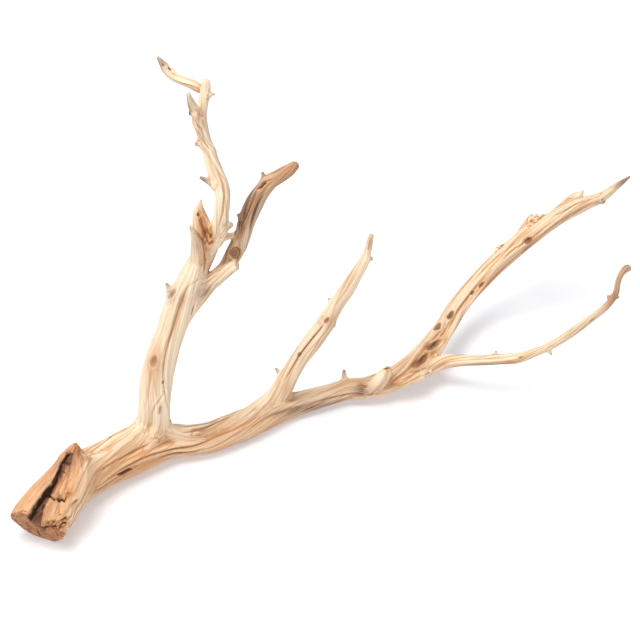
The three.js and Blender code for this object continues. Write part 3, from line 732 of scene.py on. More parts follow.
# %% A limb as a straightened log
TURNS = {"stem": 9.0, "left_arm": 3.0, "upper_arm": 5.0, "dark_arm": 2.5, "middle_twig": 3.0,
         "right_twig": 6.0, "butt": 0.3}
NO_GRAIN = (flank, lower_lobe)
LOG_SHIFT = 37.0
NO_EYE = 9.0


def around(limb, found, k, angle):
    """Lengths along and across a limb's skin from one place on it."""
    off = wrapped(found["angle"] - angle)
    return found["s"] - limb.distance[k], found["radius"] * off


def grain_log(limb, found):
    """A limb's straightened coordinates, how near the closest eye is, and its depth."""
    bend = np.zeros(len(found["s"]))
    nearness = np.full(len(found["s"]), NO_EYE)
    depth = np.zeros(len(found["s"]))
    tone = np.zeros(len(found["s"]))
    for home, k, angle, long, wide, deep, dark, *lean in eyes:
        if home is not limb:
            continue
        along, across = around(limb, found, k, angle)
        c, s = math.cos(sum(lean)), math.sin(sum(lean))
        along, across = c * along + s * across, c * across - s * along
        narrow = 1 - 0.3 * np.clip(along / long, -1, 1)
        rho = np.hypot(along / (long / 2), across / (wide / 2) / narrow)
        bearing = np.arctan2(across, along)
        ragged = 0.08 * np.cos(2 * bearing + k) + 0.04 * np.cos(3 * bearing + 2 * k)
        rho = rho * (1 + ragged)
        share = np.exp(-0.6 * np.maximum(rho - 1, 0)) / np.maximum(rho, 1) ** 1.2
        bend -= across * share
        bowl = -deep * np.exp(-((rho / 0.8) ** 3))
        rim = 0.24 * deep * hump(rho - 1.35, 0.4)
        depth += bowl + rim
        tone = np.where(rho < np.minimum(nearness, 3), dark, tone)
        nearness = np.minimum(nearness, rho)
    plain = found["radius"] * (1 + limb.relief(found["t"], found["angle"]))
    round_part = found["radius"] ** 0.3 * limb.radius.mean() ** 0.7
    round_part = round_part * np.clip(found["gap"] / plain, 0, 1.1)
    twist = TURNS.get(limb.name, 1.0) * found["t"]
    angle = found["angle"] + twist + bend / found["radius"]
    log = np.stack([round_part * np.cos(angle), round_part * np.sin(angle), found["s"]], axis=1)
    shift = LOG_SHIFT * limbs.index(limb)
    return log + np.array([0, 0, shift]), nearness, depth, tone


ends = grain_log(stem, stem.measure(stem.middle[[0, -1]]))[0]
print("the stem's log runs from", round(float(ends[0, 2])), "to", round(float(ends[1, 2])), "mm")

# %% Two layers of wood coordinates
# (pixel down, pixel across) of the edge between the butt's own grain and the stem's
TROUGH_EDGE = np.array([(440, 80), (455, 76), (470, 70), (490, 62), (520, 52), (545, 44)])


def skin_edge(rows):
    """The pixel across up to which the butt's own grain shows, right of the trough."""
    down = pixel_of(skin[rows])[:, 1]
    return np.interp(down, TROUGH_EDGE[:, 0], TROUGH_EDGE[:, 1])


layer_gap = np.full((2, len(skin)), FAR_OFF)
layer_log = np.zeros((2, len(skin), 3))
layer_depth = np.zeros((2, len(skin)))
layer_eye = np.full((2, len(skin)), NO_EYE)
layer_tone = np.zeros((2, len(skin)))
layer_size = np.ones((2, len(skin)))
owner = np.zeros((2, len(skin)), int)
for limb in limbs:
    if limb in NO_GRAIN:
        continue
    rows, found = near(limb, skin)
    outside = shell(limb, found)
    # a spur's foot takes its parent's grain, and the stem's grain runs up to the trough
    if limbs.index(limb) >= FIRST_SPUR:
        outside = outside + 7 * np.clip(1 - found["t"] * 2.2, 0, 1)
    if limb is butt:
        past_edge = pixel_of(skin[rows])[:, 0] - skin_edge(rows)
        outside = outside + 12 * np.clip(past_edge / 8, 0, 1)
    layer = limb.layer
    wins = outside < layer_gap[layer, rows]
    rows = rows[wins]
    found = {key: value[wins] for key, value in found.items()}
    log, nearness, depth, tone = grain_log(limb, found)
    layer_gap[layer, rows] = outside[wins]
    layer_log[layer, rows] = log
    layer_depth[layer, rows] = depth
    layer_eye[layer, rows] = nearness
    layer_tone[layer, rows] = tone
    layer_size[layer, rows] = found["radius"]
    owner[layer, rows] = limbs.index(limb)
# the low eyes of the fork lie partly on the twig beside them
rows = close_to(stem, skin)
rows = rows[np.hypot(*(pixel_of(skin[rows]) - (432, 352)).T) < 30]
_, nearness, depth, tone = grain_log(stem, stem.measure(skin[rows]))
layer_depth[1, rows], layer_eye[1, rows], layer_tone[1, rows] = depth, nearness, tone
# (pixel across and down, spread, strength) of the joints where the grain fades more softly
JOINTS = [(164, 441, 17, 1.0), (402, 382, 10, 0.7)]
SEAM, LEAD = 4.0, 1.5
JOINT_SEAM, JOINT_LEAD = 4, 8
seen = pixel_of(skin)
at_joint = np.maximum.reduce([
    strength * hump(np.hypot(seen[:, 0] - px, seen[:, 1] - py), spread)
    for px, py, spread, strength in JOINTS])
lead = LEAD - JOINT_LEAD * at_joint
second = 0.5 + 0.5 * (layer_gap[0] - layer_gap[1] + lead) / (SEAM + JOINT_SEAM * at_joint)
second = np.clip(second, 0, 1)
second = second * second * (3 - 2 * second)


def faded(pair):
    """One value from those of the two layers."""
    return pair[0] + (pair[1] - pair[0]) * second


print("wood coordinates after", round(time.time() - started, 1), "s")

# %% [markdown]
# ## Ridges, checks and torn wood
#
# Sand takes the soft spring wood and leaves the hard summer wood. That gives rounded ridges with
# narrow grooves between, which run for a long way and then close. Sums of long cosine waves in the
# log's coordinates do that. The grooves and checks that give this branch its face are given as
# lines of pixels.

# %% Waves along the grain
def waves(seed, count, across, along):
    """A soft noise of random waves, in millimetres, much longer along the grain."""
    rng = np.random.default_rng(seed)
    heading = rng.uniform(0, 2 * np.pi, count)
    step = 2 * np.pi / rng.uniform(*across, count)
    climb = 2 * np.pi / rng.uniform(*along, count) * rng.choice([-1, 1], count)
    phase = rng.uniform(0, 2 * np.pi, count)

    def read(log):
        total = np.zeros(len(log))
        for h, w, c, p in zip(heading, step, climb, phase):
            total += np.cos(w * (math.cos(h) * log[:, 0] + math.sin(h) * log[:, 1])
                            + c * log[:, 2] + p)
        return total * math.sqrt(2 / count)
    return lambda: faded(np.stack([read(layer_log[0]), read(layer_log[1])]))


broad = waves(3, 9, (10, 17), (110, 300))()
close_set = waves(5, 14, (4.8, 9.0), (120, 340))()
busy = np.clip(0.5 + 0.6 * waves(7, 8, (14, 30), (70, 160))(), 0.12, 1)
rough = waves(11, 18, (2.4, 4.6), (12, 36))()
print("the broad waves reach from", broad.min().round(2), "to", broad.max().round(2))

# %% Grooves and checks along the grain
# (limb, width, depth, how dark, pixels) of grooves and checks placed one by one
# their darkness is partly the wood's own orange-brown lines and partly painted shade in the checks
LINES = [
    (stem, 1.1, 1.4, 0.6, (88, 497), (100, 487), (117, 474), (133, 464), (150, 456),
     (167, 451), (183, 448.5), (200, 445), (217, 437.5), (233, 430), (250, 420), (262, 413)),
    (stem, 1.0, 1.6, 0.85, (160, 459), (175, 454), (190, 452.5), (205, 448)),
    (stem, 1.1, 1.1, 0.4, (97, 473), (117, 462), (133, 452), (150, 443), (167, 437.5)),
    (stem, 0.9, 1.2, 0.7, (180, 433.5), (200, 429), (214, 423), (225, 418), (240, 410.5)),
    (stem, 1.4, 1.4, 0.3, (92, 505), (104, 490), (120, 477), (131, 470.5)),
    (stem, 1.4, 1.4, 0.5, (108, 481), (117, 476.5), (126, 472.4), (140, 466)),
    (stem, 1.1, 1.0, 0.3, (246, 432), (262, 421), (280, 413), (300, 407), (316, 404)),
    (stem, 1.0, 0.9, 0.35, (236, 421), (250, 412), (266, 402), (284, 395), (296, 388)),
    (stem, 1.2, 1.2, 0.5, (308, 404), (326, 400), (345, 396), (362, 394)),
    (stem, 0.8, 0.8, 0.3, (312, 393), (330, 389), (346, 383), (358, 379), (366, 383)),
    (stem, 1.4, 1.6, 0.3, (388, 388), (398, 379), (408, 371), (417, 358), (427, 343),
     (436, 335), (445, 322)),
    (stem, 1.0, 1.0, 0.3, (404, 384), (414, 376), (426, 367), (436, 357), (444, 344)),
    (stem, 1.0, 1.1, 0.5, (450, 330), (458, 313), (468, 298), (480, 284), (493, 270)),
    (stem, 0.9, 1.0, 0.4, (466, 287), (480, 272), (497, 256), (515, 243)),
    (stem, 0.9, 1.0, 0.5, (505, 259), (518, 248), (528, 241), (541, 231), (553, 222)),
    (stem, 0.8, 0.8, 0.4, (548, 217), (562, 211), (577, 203), (592, 198)),
    (left_arm, 1.3, 1.3, 0.5, (170, 418), (166, 395), (163.5, 370), (167, 350), (174, 326),
     (181, 306), (189, 288), (200, 279), (208, 276)),
    (left_arm, 1.2, 1.0, 0.2, (149, 424), (155, 410), (163, 398), (167, 388)),
    (left_arm, 1.2, 1.0, 0.2, (143, 412), (146, 396), (150, 380), (153, 368)),
    (left_arm, 0.8, 1.6, 1.0, (194.5, 317), (197, 313), (200, 309)),
    (left_arm, 2.2, 0.3, 0.24, (166, 400), (160, 381), (161, 362), (168, 342), (178, 320),
     (186, 300), (196, 284)),
    (left_arm, 2.0, 0.3, 0.22, (150, 415), (147, 398), (149, 380), (152, 358), (158, 338),
     (166, 316), (173, 300)),
    (left_arm, 0.9, 1.3, 0.5, (204, 275), (205, 262), (206, 250)),
    (left_arm, 1.0, 0.8, 0.2, (160, 345), (167, 325), (172, 306), (181, 285), (190, 266)),
    (upper_arm, 1.0, 1.1, 0.45, (217, 232), (221.5, 222), (224, 212), (225.5, 200), (225, 188),
     (221, 176), (216, 163)),
    (upper_arm, 0.8, 0.8, 0.3, (210, 160), (207, 148), (203, 136), (200, 122), (202, 108)),
    (dark_arm, 1.2, 1.3, 0.95, (237, 243), (240, 229), (245, 215), (251, 202), (258, 191)),
    (dark_arm, 0.9, 1.0, 0.7, (242, 240), (246, 226), (251, 213), (257, 201), (263, 192)),
    (dark_arm, 1.0, 1.3, 1.0, (259, 187), (264, 182), (271, 179)),
    (dark_arm, 0.8, 0.8, 0.5, (252, 216), (257, 203), (264, 192), (274, 183), (286, 174)),
    (middle_twig, 0.8, 1.7, 1.0, (283, 381), (289, 370), (298, 355.5), (307, 343.5),
     (319, 329), (328, 321)),
    (middle_twig, 0.9, 0.8, 0.3, (296, 372), (306, 357), (318, 343), (330, 328)),
    (middle_twig, 0.8, 0.8, 0.3, (331, 311), (341, 298), (350, 284), (360, 267)),
    (middle_twig, 0.7, 0.9, 0.8, (366.5, 252), (368, 244), (370, 236)),
    (side_arm, 0.8, 0.7, 0.3, (198, 287), (210, 279), (222, 272)),
    (right_twig, 0.7, 0.7, 0.4, (470, 358), (490, 358), (510, 358)),
    (right_twig, 0.7, 0.7, 0.4, (540, 351), (556, 342), (574, 331), (590, 319)),
]


def draw_lines():
    """Depth of the listed grooves, and how dark they are."""
    depth = np.zeros(len(skin))
    dark = np.zeros(len(skin))
    for limb, width, deep, tone, *pixels in LINES:
        places = [limb.spot(*pixel) for pixel in pixels]
        knots = np.array([[limb.distance[k], angle] for k, angle in places])
        dense = through(knots, np.linspace(0, 1, 12 * len(knots)), even=True)
        mine = np.flatnonzero((owner[limb.layer] == limbs.index(limb))
                              & (layer_gap[limb.layer] < 4))
        found = limb.measure(skin[mine])
        order = np.argsort(dense[:, 0])
        at = np.interp(found["s"], dense[order, 0], dense[order, 1])
        off = found["radius"] * wrapped(found["angle"] - at)
        start, end = dense[:, 0].min(), dense[:, 0].max()
        share = np.clip((found["s"] - start) / (end - start), 0, 1)
        fade = np.sqrt(np.sin(np.pi * share)) * (share > 0) * (share < 1)
        cut = fade * hump(off, width)
        lip = 0.35 * fade * hump(np.abs(off) - 2.3 * width, width)
        depth[mine] -= deep * (cut - lip)
        # the darkness of a line: partly the wood's own line, partly painted shade in its check
        dark[mine] = np.maximum(dark[mine], tone * fade * hump(off / width, 0.7))
    return depth, dark


line_depth, line_dark = draw_lines()
print(len(LINES), "grooves and checks, at most", (-line_depth.min()).round(2), "mm deep")

# %% Ragged breaks
# (half width in pixels, depth, how dark, pixels) of ragged breaks, most of them across the grain
# the darkness of a break is mostly painted shade inside it and under a broken end
GASHES = [
    (1.3, 3.4, 1, (35, 524), (40, 527.5), (44, 529.5), (48, 527), (52, 528.5), (56, 525.5),
     (60, 527), (64, 522.5), (67, 523.5)),
    (1.2, 2.8, 1, (50, 496.5), (53, 499.5), (56, 497.5), (59, 501), (62, 499), (64.5, 501.5),
     (66.5, 497)),
    (0.7, 1.0, 0.6, (66.5, 497), (68, 491), (69.5, 486.5)),
    (1.2, 2.0, 0.9, (60, 463.5), (64, 462), (68, 464), (70.5, 463)),
    (1.1, 1.6, 1, (66.5, 452.5), (67.5, 456.5)), (0.8, 1.2, 0.8, (63, 471), (64.5, 473)),
    (0.9, 1.4, 1, (60, 514), (60.6, 515)), (0.8, 1.4, 0.9, (62, 520), (66, 517), (67, 520)),
    (0.8, 1.6, 0.8, (43, 521.5), (48, 522.5), (52, 521), (57, 523), (62, 519.5)),
    (1.7, 2.0, 0.95, (118.5, 476), (123, 474.4), (127, 471.6), (132, 469.8)),
    (0.7, 1.2, 0.7, (17, 513), (23, 511), (29, 512.5)), (0.7, 1.0, 0.7, (37, 530), (40, 536)),
    (0.7, 1.0, 0.6, (55, 531), (58, 536)), (1.2, 2.0, 1, (197.3, 214), (198, 217)),
    (0.7, 1.0, 0.75, (199, 220), (202, 226), (204.5, 233), (207, 240), (210, 245.5)),
    (0.6, 0.8, 0.35, (203.5, 221), (207, 231), (211, 238)), (0.5, 0.6, 0.3, (201, 212), (206, 224)),
    (1.0, 1.4, 0.9, (162.5, 64), (164, 66.5)),
    (0.9, 1.4, 0.9, (168.5, 67.5), (171.5, 70.5)),
    (1.5, 1.4, 0.6, (358, 386), (362, 385), (366, 387)),
    (1.4, 1.0, 0.85, (383.5, 368.5), (389, 368)), (0.8, 1.0, 0.6, (427, 375), (430, 372)),
    (0.8, 1.2, 0.6, (402, 380.5), (409, 375.5), (417, 371.5), (425, 368.5)),
    (1.0, 1.2, 0.9, (256, 190), (261, 186), (267, 183)),
    (0.9, 0.5, 0.85, (231.2, 251), (233, 248), (236.6, 247.2), (239.6, 250), (239.6, 254.5),
     (237, 258), (233.4, 257.6), (231.6, 255)),
    (0.7, 0.3, 0.7, (234.4, 252), (236.4, 251.6), (236.8, 254)),
    (1.3, 1.4, 0.45, (530, 221), (534, 219)), (1.0, 1.2, 0.4, (537, 219.5), (541, 216.5)),
    (0.9, 1.0, 0.45, (527.5, 226.5), (531, 225)),
    (0.7, 1.0, 0.5, (203.4, 246), (204.6, 256), (204, 268)),
]


def carve_gashes():
    """Depth of the breaks, and their darkness, which is painted shade, laid on what shows at their
    pixels.
    """
    depth, dark = np.zeros(len(skin)), np.zeros(len(skin))
    for width, deep, tone, *pixels in GASHES:
        pixels = np.array(pixels, float)
        steps = np.linspace(0, len(pixels) - 1, 16 * len(pixels))
        trail = np.stack([np.interp(steps, np.arange(len(pixels)), pixels[:, axis])
                          for axis in (0, 1)], axis=1)
        low_end, high_end = trail.min(axis=0) - 6, trail.max(axis=0) + 6
        rows = np.flatnonzero(((seen > low_end) & (seen < high_end)).all(axis=1)
                              & (faces_viewer > -0.1) & (in_view > 0.5))
        gaps = np.hypot(seen[rows, 0][:, None] - trail[:, 0],
                        seen[rows, 1][:, None] - trail[:, 1])
        share = np.argmin(gaps, axis=1) / (len(trail) - 1)
        taper = 0.45 + 0.65 * np.sin(np.pi * share)
        cut = hump(gaps.min(axis=1) / width, taper)
        depth[rows] = np.minimum(depth[rows], -deep * cut)
        dark[rows] = np.maximum(dark[rows], cut * tone)
    return depth, dark


CELL, CELLS = 1.6, 500
HIDING_GAP = 6


def front_most():
    """1 where nothing else of the branch hides the skin from the viewer."""
    nearer = skin @ TO_VIEWER
    cells = np.clip(seen / CELL, 0, CELLS - 1).astype(int)
    cells = cells[:, 0] * CELLS + cells[:, 1]
    nearest = np.full(CELLS * CELLS, -1e6)
    np.maximum.at(nearest, cells, nearer)
    return np.clip(2 - (nearest[cells] - nearer) / HIDING_GAP, 0, 1)


faces_viewer = slope @ TO_VIEWER
in_view = front_most()
gash_depth, gash_dark = carve_gashes()
print(len(GASHES), "ragged breaks, at most", (-gash_depth.min()).round(2), "mm deep")

# %% Torn wood at the butt and the stub
def cut_depth(hollow, reach):
    """1 on a hollow's own wall, fading to 0 at a distance from it."""
    inside = np.zeros(len(skin))
    rows, found = near(hollow, skin)
    inside[rows] = hump(shell(hollow, found), reach)
    return inside


in_trough = cut_depth(trough, 1.6)
for plate in plates:
    rows, found = near(plate, skin)
    in_trough[rows] *= np.clip(shell(plate, found) / 1.2 - 1.2, 0, 1)
in_torn = cut_depth(torn_face, 1.8)
on_plates = cut_depth(end_break, 1.2)
sawn = (skin - saw_spot) @ saw_facing
on_saw = hump(sawn, 1.0) * (skin[:, 0] < BUTT_REACH)


def patch(px, py, wide, high, lean=0.0):
    """A soft patch on what shows round a pixel."""
    x, y = seen[:, 0] - px, seen[:, 1] - py
    c, s = math.cos(lean), math.sin(lean)
    return in_view * np.exp(-((c * x + s * y) / wide) ** 2 - ((c * y - s * x) / high) ** 2)


def patches(*rows):
    """The strongest of some patches, each a row of (share, pixel across and down, size, lean)."""
    return np.maximum.reduce([share * patch(*place) for share, *place in rows])


torn_peak = patches((1, 76.5, 451, 5.5, 9, 0.35), (0.9, 69, 456, 5, 6)) * (faces_viewer > -0.3)
torn = np.clip(np.maximum.reduce([in_trough, in_torn, on_plates, on_saw, torn_peak]), 0, 1)
size = np.minimum(faded(layer_size), 14) / 14
calm = (1 - 0.8 * torn) * size
groove = hump(close_set, 0.55)
relief = calm * (0.55 * broad + busy * (0.4 - 0.9 * groove))
relief += faded(layer_depth) * (1 - torn)
relief += line_depth * (1 - torn) * np.minimum(1, 0.4 + size)
relief += torn * (0.5 - 0.4 * on_saw) * rough + gash_depth
skin += slope * relief[:, None]
skin[:, 2] = np.maximum(skin[:, 2], 0)
wood.data.vertices.foreach_set("co", (skin * MM).ravel())
wood.data.update()
print("relief from", relief.min().round(2), "to", relief.max().round(2), "mm")

# %% [markdown]
# ## What each place of the skin remembers
#
# The colours need to know where the ridges, eyes, checks and torn places are. They are kept on
# the skin as attributes, in words that a material can read. A ridge is told by the skin itself:
# where the corners round a place lie lower than it does, it stands proud.

# %% How proud each place stands
def proudness(points, mesh, rounds):
    """Above 0 on ridges and below 0 in grooves, from each corner's neighbours."""
    ends = np.empty(len(mesh.edges) * 2, int)
    mesh.edges.foreach_get("vertices", ends)
    a, b = ends.reshape(-1, 2).T
    both, other = np.concatenate([a, b]), np.concatenate([b, a])
    count = np.maximum(np.bincount(both, minlength=len(points)), 1)

    def mean(values):
        return np.bincount(both, values[other], len(points)) / count
    softened = points
    for _ in range(rounds):
        softened = np.stack([mean(softened[:, axis]) for axis in range(3)], axis=1)
    height = ((points - softened) * slope).sum(axis=1)
    return mean(height)


ridge_small = proudness(skin, wood.data, 6)
ridge_wide = proudness(skin, wood.data, 30)
print("the proudest ridge stands", ridge_wide.max().round(2), "mm over the wood round it")

# %% The butt's trough, with painted shade at its bottom, and its warm heartwood
# the pixels along the bottom of the trough, which gets a painted shade of near black, and how wide
# that shade is at some pixels down
DARK_LINE = np.array([(68, 455), (61, 463.5), (59, 472), (55.5, 480), (51, 488), (45.5, 495),
                      (40.5, 501), (35, 509), (30, 518)])
dense_line = through(DARK_LINE.astype(float), np.linspace(0, 1, 60), even=True)
from_line = np.full(len(skin), 99.0)
butt_rows = np.flatnonzero(skin[:, 0] < -190)
from_line[butt_rows] = np.min(np.hypot(
    seen[butt_rows, 0][:, None] - dense_line[:, 0],
    seen[butt_rows, 1][:, None] - dense_line[:, 1]), axis=1)
from_line /= np.interp(seen[:, 1], (455, 477, 486, 498, 508), (2.2, 2.2, 4.6, 4.6, 3))
warm = np.zeros(len(skin))
# (pixel down, pixel across) of the edge of the red-brown heartwood
WARM_EDGE = np.array([(440, 85), (455, 83), (470, 80), (490, 75), (510, 70), (545, 64)])
edge = np.interp(seen[butt_rows, 1], WARM_EDGE[:, 0], WARM_EDGE[:, 1])
warm[butt_rows] = np.clip((edge + 3 - seen[butt_rows, 0]) / 9, 0, 1)
warm *= 1 - in_trough
print(int((warm > 0.5).sum()), "corners are heartwood")

# %% Patches of weathered wood and painted shade, and of amber, ruddy and pale wood
tips = np.zeros(len(skin))
for limb in limbs[FIRST_SPUR:]:
    rows, found = near(limb, skin, 3.0)
    tips[rows] = np.maximum(tips[rows], np.clip(found["t"] * 2 - 0.9, 0, 1)
                            * (shell(limb, found) < 1.2))
belongs = np.where(second > 0.5, owner[1], owner[0])


def on_limb(*names):
    """1 on the skin of some limbs."""
    chosen = [k for k, limb in enumerate(limbs) if limb.name in names]
    return np.isin(belongs, chosen).astype(float)


share_of_dark = np.zeros(len(skin))
rows, found = near(dark_arm, skin)
share_of_dark[rows] = found["t"]
dark_skin = on_limb("dark_arm", "dark_arm_spur")
# mostly grey weathered wood, but three patches are painted shade: a band along the stem's lower
# side at (310, 407), a line under the right twig at (487, 364.6) and a spot under the side arm's
# base at (205, 292)
weathering_and_painted_shade = np.clip(np.maximum.reduce([
    0.5 * dark_skin,
    dark_skin * patches((1.3, 248, 210, 33, 12, -1.18), (0.8, 238, 236, 9, 6, -1.2),
                        (0.7, 228, 262, 6, 8, -0.8), (0.9, 279, 169.5, 14, 2.2, -0.6)),
    on_limb("horn") * patches((0.5, 196, 244, 4, 12)),
    patches((1, 203, 179.5, 8, 4.5, 0.4), (0.95, 362, 391, 8, 7),
            (0.95, 310, 407, 40, 4.5, -0.19), (0.85, 487, 364.6, 36, 2.4, -0.02),
            (0.7, 228, 227, 6, 4, -0.5), (0.5, 182, 300, 4, 8, 0.3), (0.75, 205, 292, 5, 9, 0.9),
            (0.6, 171, 293, 5, 8), (1, 624, 180, 11, 7, -0.6), (0.6, 615, 288, 6, 20, 0.2),
            (0.7, 627, 268, 7, 6), (0.8, 161, 62, 6, 8), (0.3, 191, 103, 5, 15, 0.2),
            (0.5, 371, 243, 4, 10), (0.6, 600, 205, 6, 4))]), 0, 1)
amber = np.maximum(
    0.75 * dark_skin * np.clip((share_of_dark - 0.6) * 4, 0, 1),
    patches((0.8, 204, 228, 7, 20, -0.3), (0.8, 398, 385, 11, 8), (0.7, 425, 356, 9, 34, 0.6),
            (0.35, 346, 386, 20, 7, -0.2), (0.6, 346, 280, 5, 16, 0.55), (0.5, 330, 322, 8, 8),
            (0.6, 528, 238, 9, 9), (0.5, 484, 284, 14, 7, -0.8), (0.7, 205, 258, 6, 18),
            (0.75, 154, 366, 8, 24, 0.15), (0.35, 178, 315, 6, 40, 0.35),
            (0.6, 240, 430, 75, 12, -0.35), (0.7, 125, 468, 55, 18, -0.5),
            (0.5, 388, 369, 5, 4), (0.9, 612, 296, 10, 22), (0.45, 289, 392, 8, 14)))
ruddy = patches((1, 77, 451, 5.5, 9, 0.35), (0.95, 71, 456, 5, 6), (0.6, 60, 463, 4, 14, 0.69),
                (0.7, 36, 519, 7, 5), (0.5, 57, 532, 12, 4), (0.5, 205, 240, 4, 9, -0.3))
risen = np.clip((436 - seen[:, 1]) / 16, 0, 1)
pale = np.maximum.reduce([
    0.95 * on_limb("left_arm") * risen, 0.45 * on_limb("upper_arm", "side_arm"),
    0.5 * on_limb("middle_twig"), 0.15 * on_limb("top_branch"),
    patches((1, 412, 345, 16, 12, -0.9), (1.2, 379, 379, 9, 6, -0.8), (1, 418, 372, 16, 4),
            (0.8, 305, 398, 14, 5), (0.7, 168, 424, 22, 8), (0.8, 173, 330, 7, 40, 0.3),
            (0.6, 228, 268, 12, 6), (0.55, 330, 388, 60, 6, -0.1), (0.5, 226, 200, 4, 30, -0.05),
            (0.6, 300, 396, 90, 14, -0.28))])
# painted shade: how much each face looks down, for a grey-pink shade painted on the undersides
painted_underside_shade = np.clip(-slope[:, 2] - 0.05, 0, 1)
for name, values in (("weathering_and_painted_shade", weathering_and_painted_shade), ("amber", amber), ("pale", pale)):
    print(f"{100 * values.mean():.0f}% of the wood is {name}")

# %% Keep it all on the skin
STORED = {
    "second": second, "ridge_small": ridge_small, "ridge_wide": ridge_wide,
    # the groove, check, hollow and underside values carry painted shade, and the weathered value
    # partly so; check also carries the wood's own orange-brown lines
    "groove": groove * calm * busy, "eye": faded(layer_eye), "eye_tone": faded(layer_tone),
    "check": np.maximum(line_dark * (1 - torn), gash_dark), "torn": torn,
    "hollow": in_trough * np.exp(-(from_line + 0.3 * rough) ** 2), "rot": in_trough,
    "weathering_and_painted_shade": weathering_and_painted_shade, "painted_underside_shade": painted_underside_shade, "tips": tips, "pale": pale,
    "warm": warm, "amber": amber, "saw": on_saw, "ruddy": ruddy,
}
for name, values in STORED.items():
    layer = wood.data.attributes.new(name, "FLOAT", "POINT")
    layer.data.foreach_set("value", values.astype(np.float32))
for name, values in (("log_a", layer_log[0]), ("log_b", layer_log[1])):
    layer = wood.data.attributes.new(name, "FLOAT_VECTOR", "POINT")
    layer.data.foreach_set("vector", values.astype(np.float32).ravel())
for polygon in wood.data.polygons:
    polygon.use_smooth = True
TRIANGLES = 196000
thin = wood.modifiers.new("lighten", "DECIMATE")
thin.ratio = min(1.0, TRIANGLES / (2 * len(wood.data.polygons)))
settle(wood)
wood.data.name = "driftwood_skin"
wood.name = "driftwood_skin"
print("the skin has", sum(len(p.vertices) - 2 for p in wood.data.polygons), "triangles after",
      round(time.time() - started, 1), "s")

# %% [markdown]
# ## Wood colours
#
# Dry blasted wood is cream, with tan and amber patches, and orange where a ring's dense edge comes
# to the surface. Its ridges get a painted highlight of cream, and its grooves and torn hollows get
# painted shade of tan, orange, brown and dark brown. Checks are orange-brown at their edge and
# painted shade of dark brown to nearly black inside, the trough's bottom is painted shade of nearly
# black, and the faces that look down get painted shade of grey-pink. Eyes are pink-brown with rings
# of their own, and the heartwood of the butt is red-brown. The colours below were chosen one by
# one.

# %% A small way to write shader maths
class Wire:
    """A value on its way through a material. Arithmetic on it adds a maths node."""

    def __init__(self, maker, socket):
        self.maker, self.socket = maker, socket

    def _do(self, operation, *others):
        return self.maker.node("ShaderNodeMath", {"operation": operation}, [self, *others])

    def __add__(self, other):
        return self._do("ADD", other)

    def __sub__(self, other):
        return self._do("SUBTRACT", other)

    def __rsub__(self, other):
        return self.maker.node("ShaderNodeMath", {"operation": "SUBTRACT"}, [other, self])

    def __mul__(self, other):
        return self._do("MULTIPLY", other)

    __radd__ = __add__

    def most(self, other):
        return self._do("MAXIMUM", other)

    def size(self):
        """The value without its sign."""
        return self._do("ABSOLUTE")

    def rest(self):
        """What is left of the value past a whole number."""
        return self._do("FRACT")

    def between(self, low_edge, high_edge):
        """0 below one value and 1 above another, with a soft step."""
        return self.maker.node("ShaderNodeMapRange", {"interpolation_type": "SMOOTHSTEP"},
                               {"Value": self, "From Min": low_edge, "From Max": high_edge})


class Maker:
    """A material in the making."""

    def __init__(self, name):
        self.material = bpy.data.materials.new(name)
        self.material.use_nodes = True
        self.tree = self.material.node_tree
        self.surface = self.tree.nodes["Principled BSDF"]

    def join(self, value, socket):
        if isinstance(value, Wire):
            self.tree.links.new(value.socket, socket)
        else:
            socket.default_value = value

    def node(self, kind, settings=(), inputs=(), output=0):
        made = self.tree.nodes.new(kind)
        for key, value in dict(settings).items():
            setattr(made, key, value)
        pairs = inputs.items() if isinstance(inputs, dict) else enumerate(inputs)
        for key, value in pairs:
            self.join(value, made.inputs[key])
        return Wire(self, made.outputs[output])

    def stored(self, name, output="Fac"):
        return self.node("ShaderNodeAttribute", {"attribute_name": name}, output=output)

    def mix(self, share, first, last):
        """Mixes two colours."""
        return self.node("ShaderNodeMix", {"data_type": "RGBA"},
                         {0: share, 6: first, 7: last}, output=2)

    def noise(self, vector, across, along, detail):
        """Noise whose spots have the given lengths in millimetres."""
        place = self.node("ShaderNodeVectorMath", {"operation": "MULTIPLY"},
                          [vector, (1 / across, 1 / across, 1 / along)])
        return self.node("ShaderNodeTexNoise", {},
                         {"Vector": place, "Scale": 1.0, "Detail": detail, "Roughness": 0.5})

    def finish(self, **values):
        for key, value in values.items():
            self.join(value, self.surface.inputs[key.replace("_", " ")])
        return self.material


def colour(text):
    """A colour written as six hexadecimal digits, in linear light."""
    shares = [int(text[i:i + 2], 16) / 255 for i in (0, 2, 4)]
    return (*[s / 12.92 if s <= 0.04045 else ((s + 0.055) / 1.055) ** 2.4 for s in shares], 1)


# %% The colours
CREAM, MIDDLE, TAN = colour("FFE6C6"), colour("EEC79B"), colour("D9A573")
# the middle brown of this row is only used for painted shade in the deepest grooves
ORANGE, RECESS_SHADE_BROWN, RED_BROWN = colour("BF824C"), colour("8E5C38"), colour("835231")
# the near black of this row is only used for painted shade, at the trough's bottom and in the
# heartwood's checks
DARK, SHADE_BLACK = colour("5E3D26"), colour("2C1A10")
AMBER, BLEACHED, EYE = colour("D69A66"), colour("FFEFD2"), colour("A67A5C")
# the grey-pink of this row is only used for painted shade on the faces that look down
GREY_BROWN, GREY_DARK, UNDERSIDE_SHADE_PINK = colour("B59078"), colour("4C2E20"), colour("C4A28B")
HEART, HEART_DEEP, HEART_RED = colour("DFA571"), colour("BA7849"), colour("965C3E")
END_WOOD, RUST, ROT = colour("C48E68"), colour("A5643F"), colour("7A5644")

print("a ridge's linear colour:", [round(part, 2) for part in CREAM[:3]])

# %% Noise that follows the grain
paint = Maker("blasted_wood")
stored = paint.stored
second_layer = stored("second")


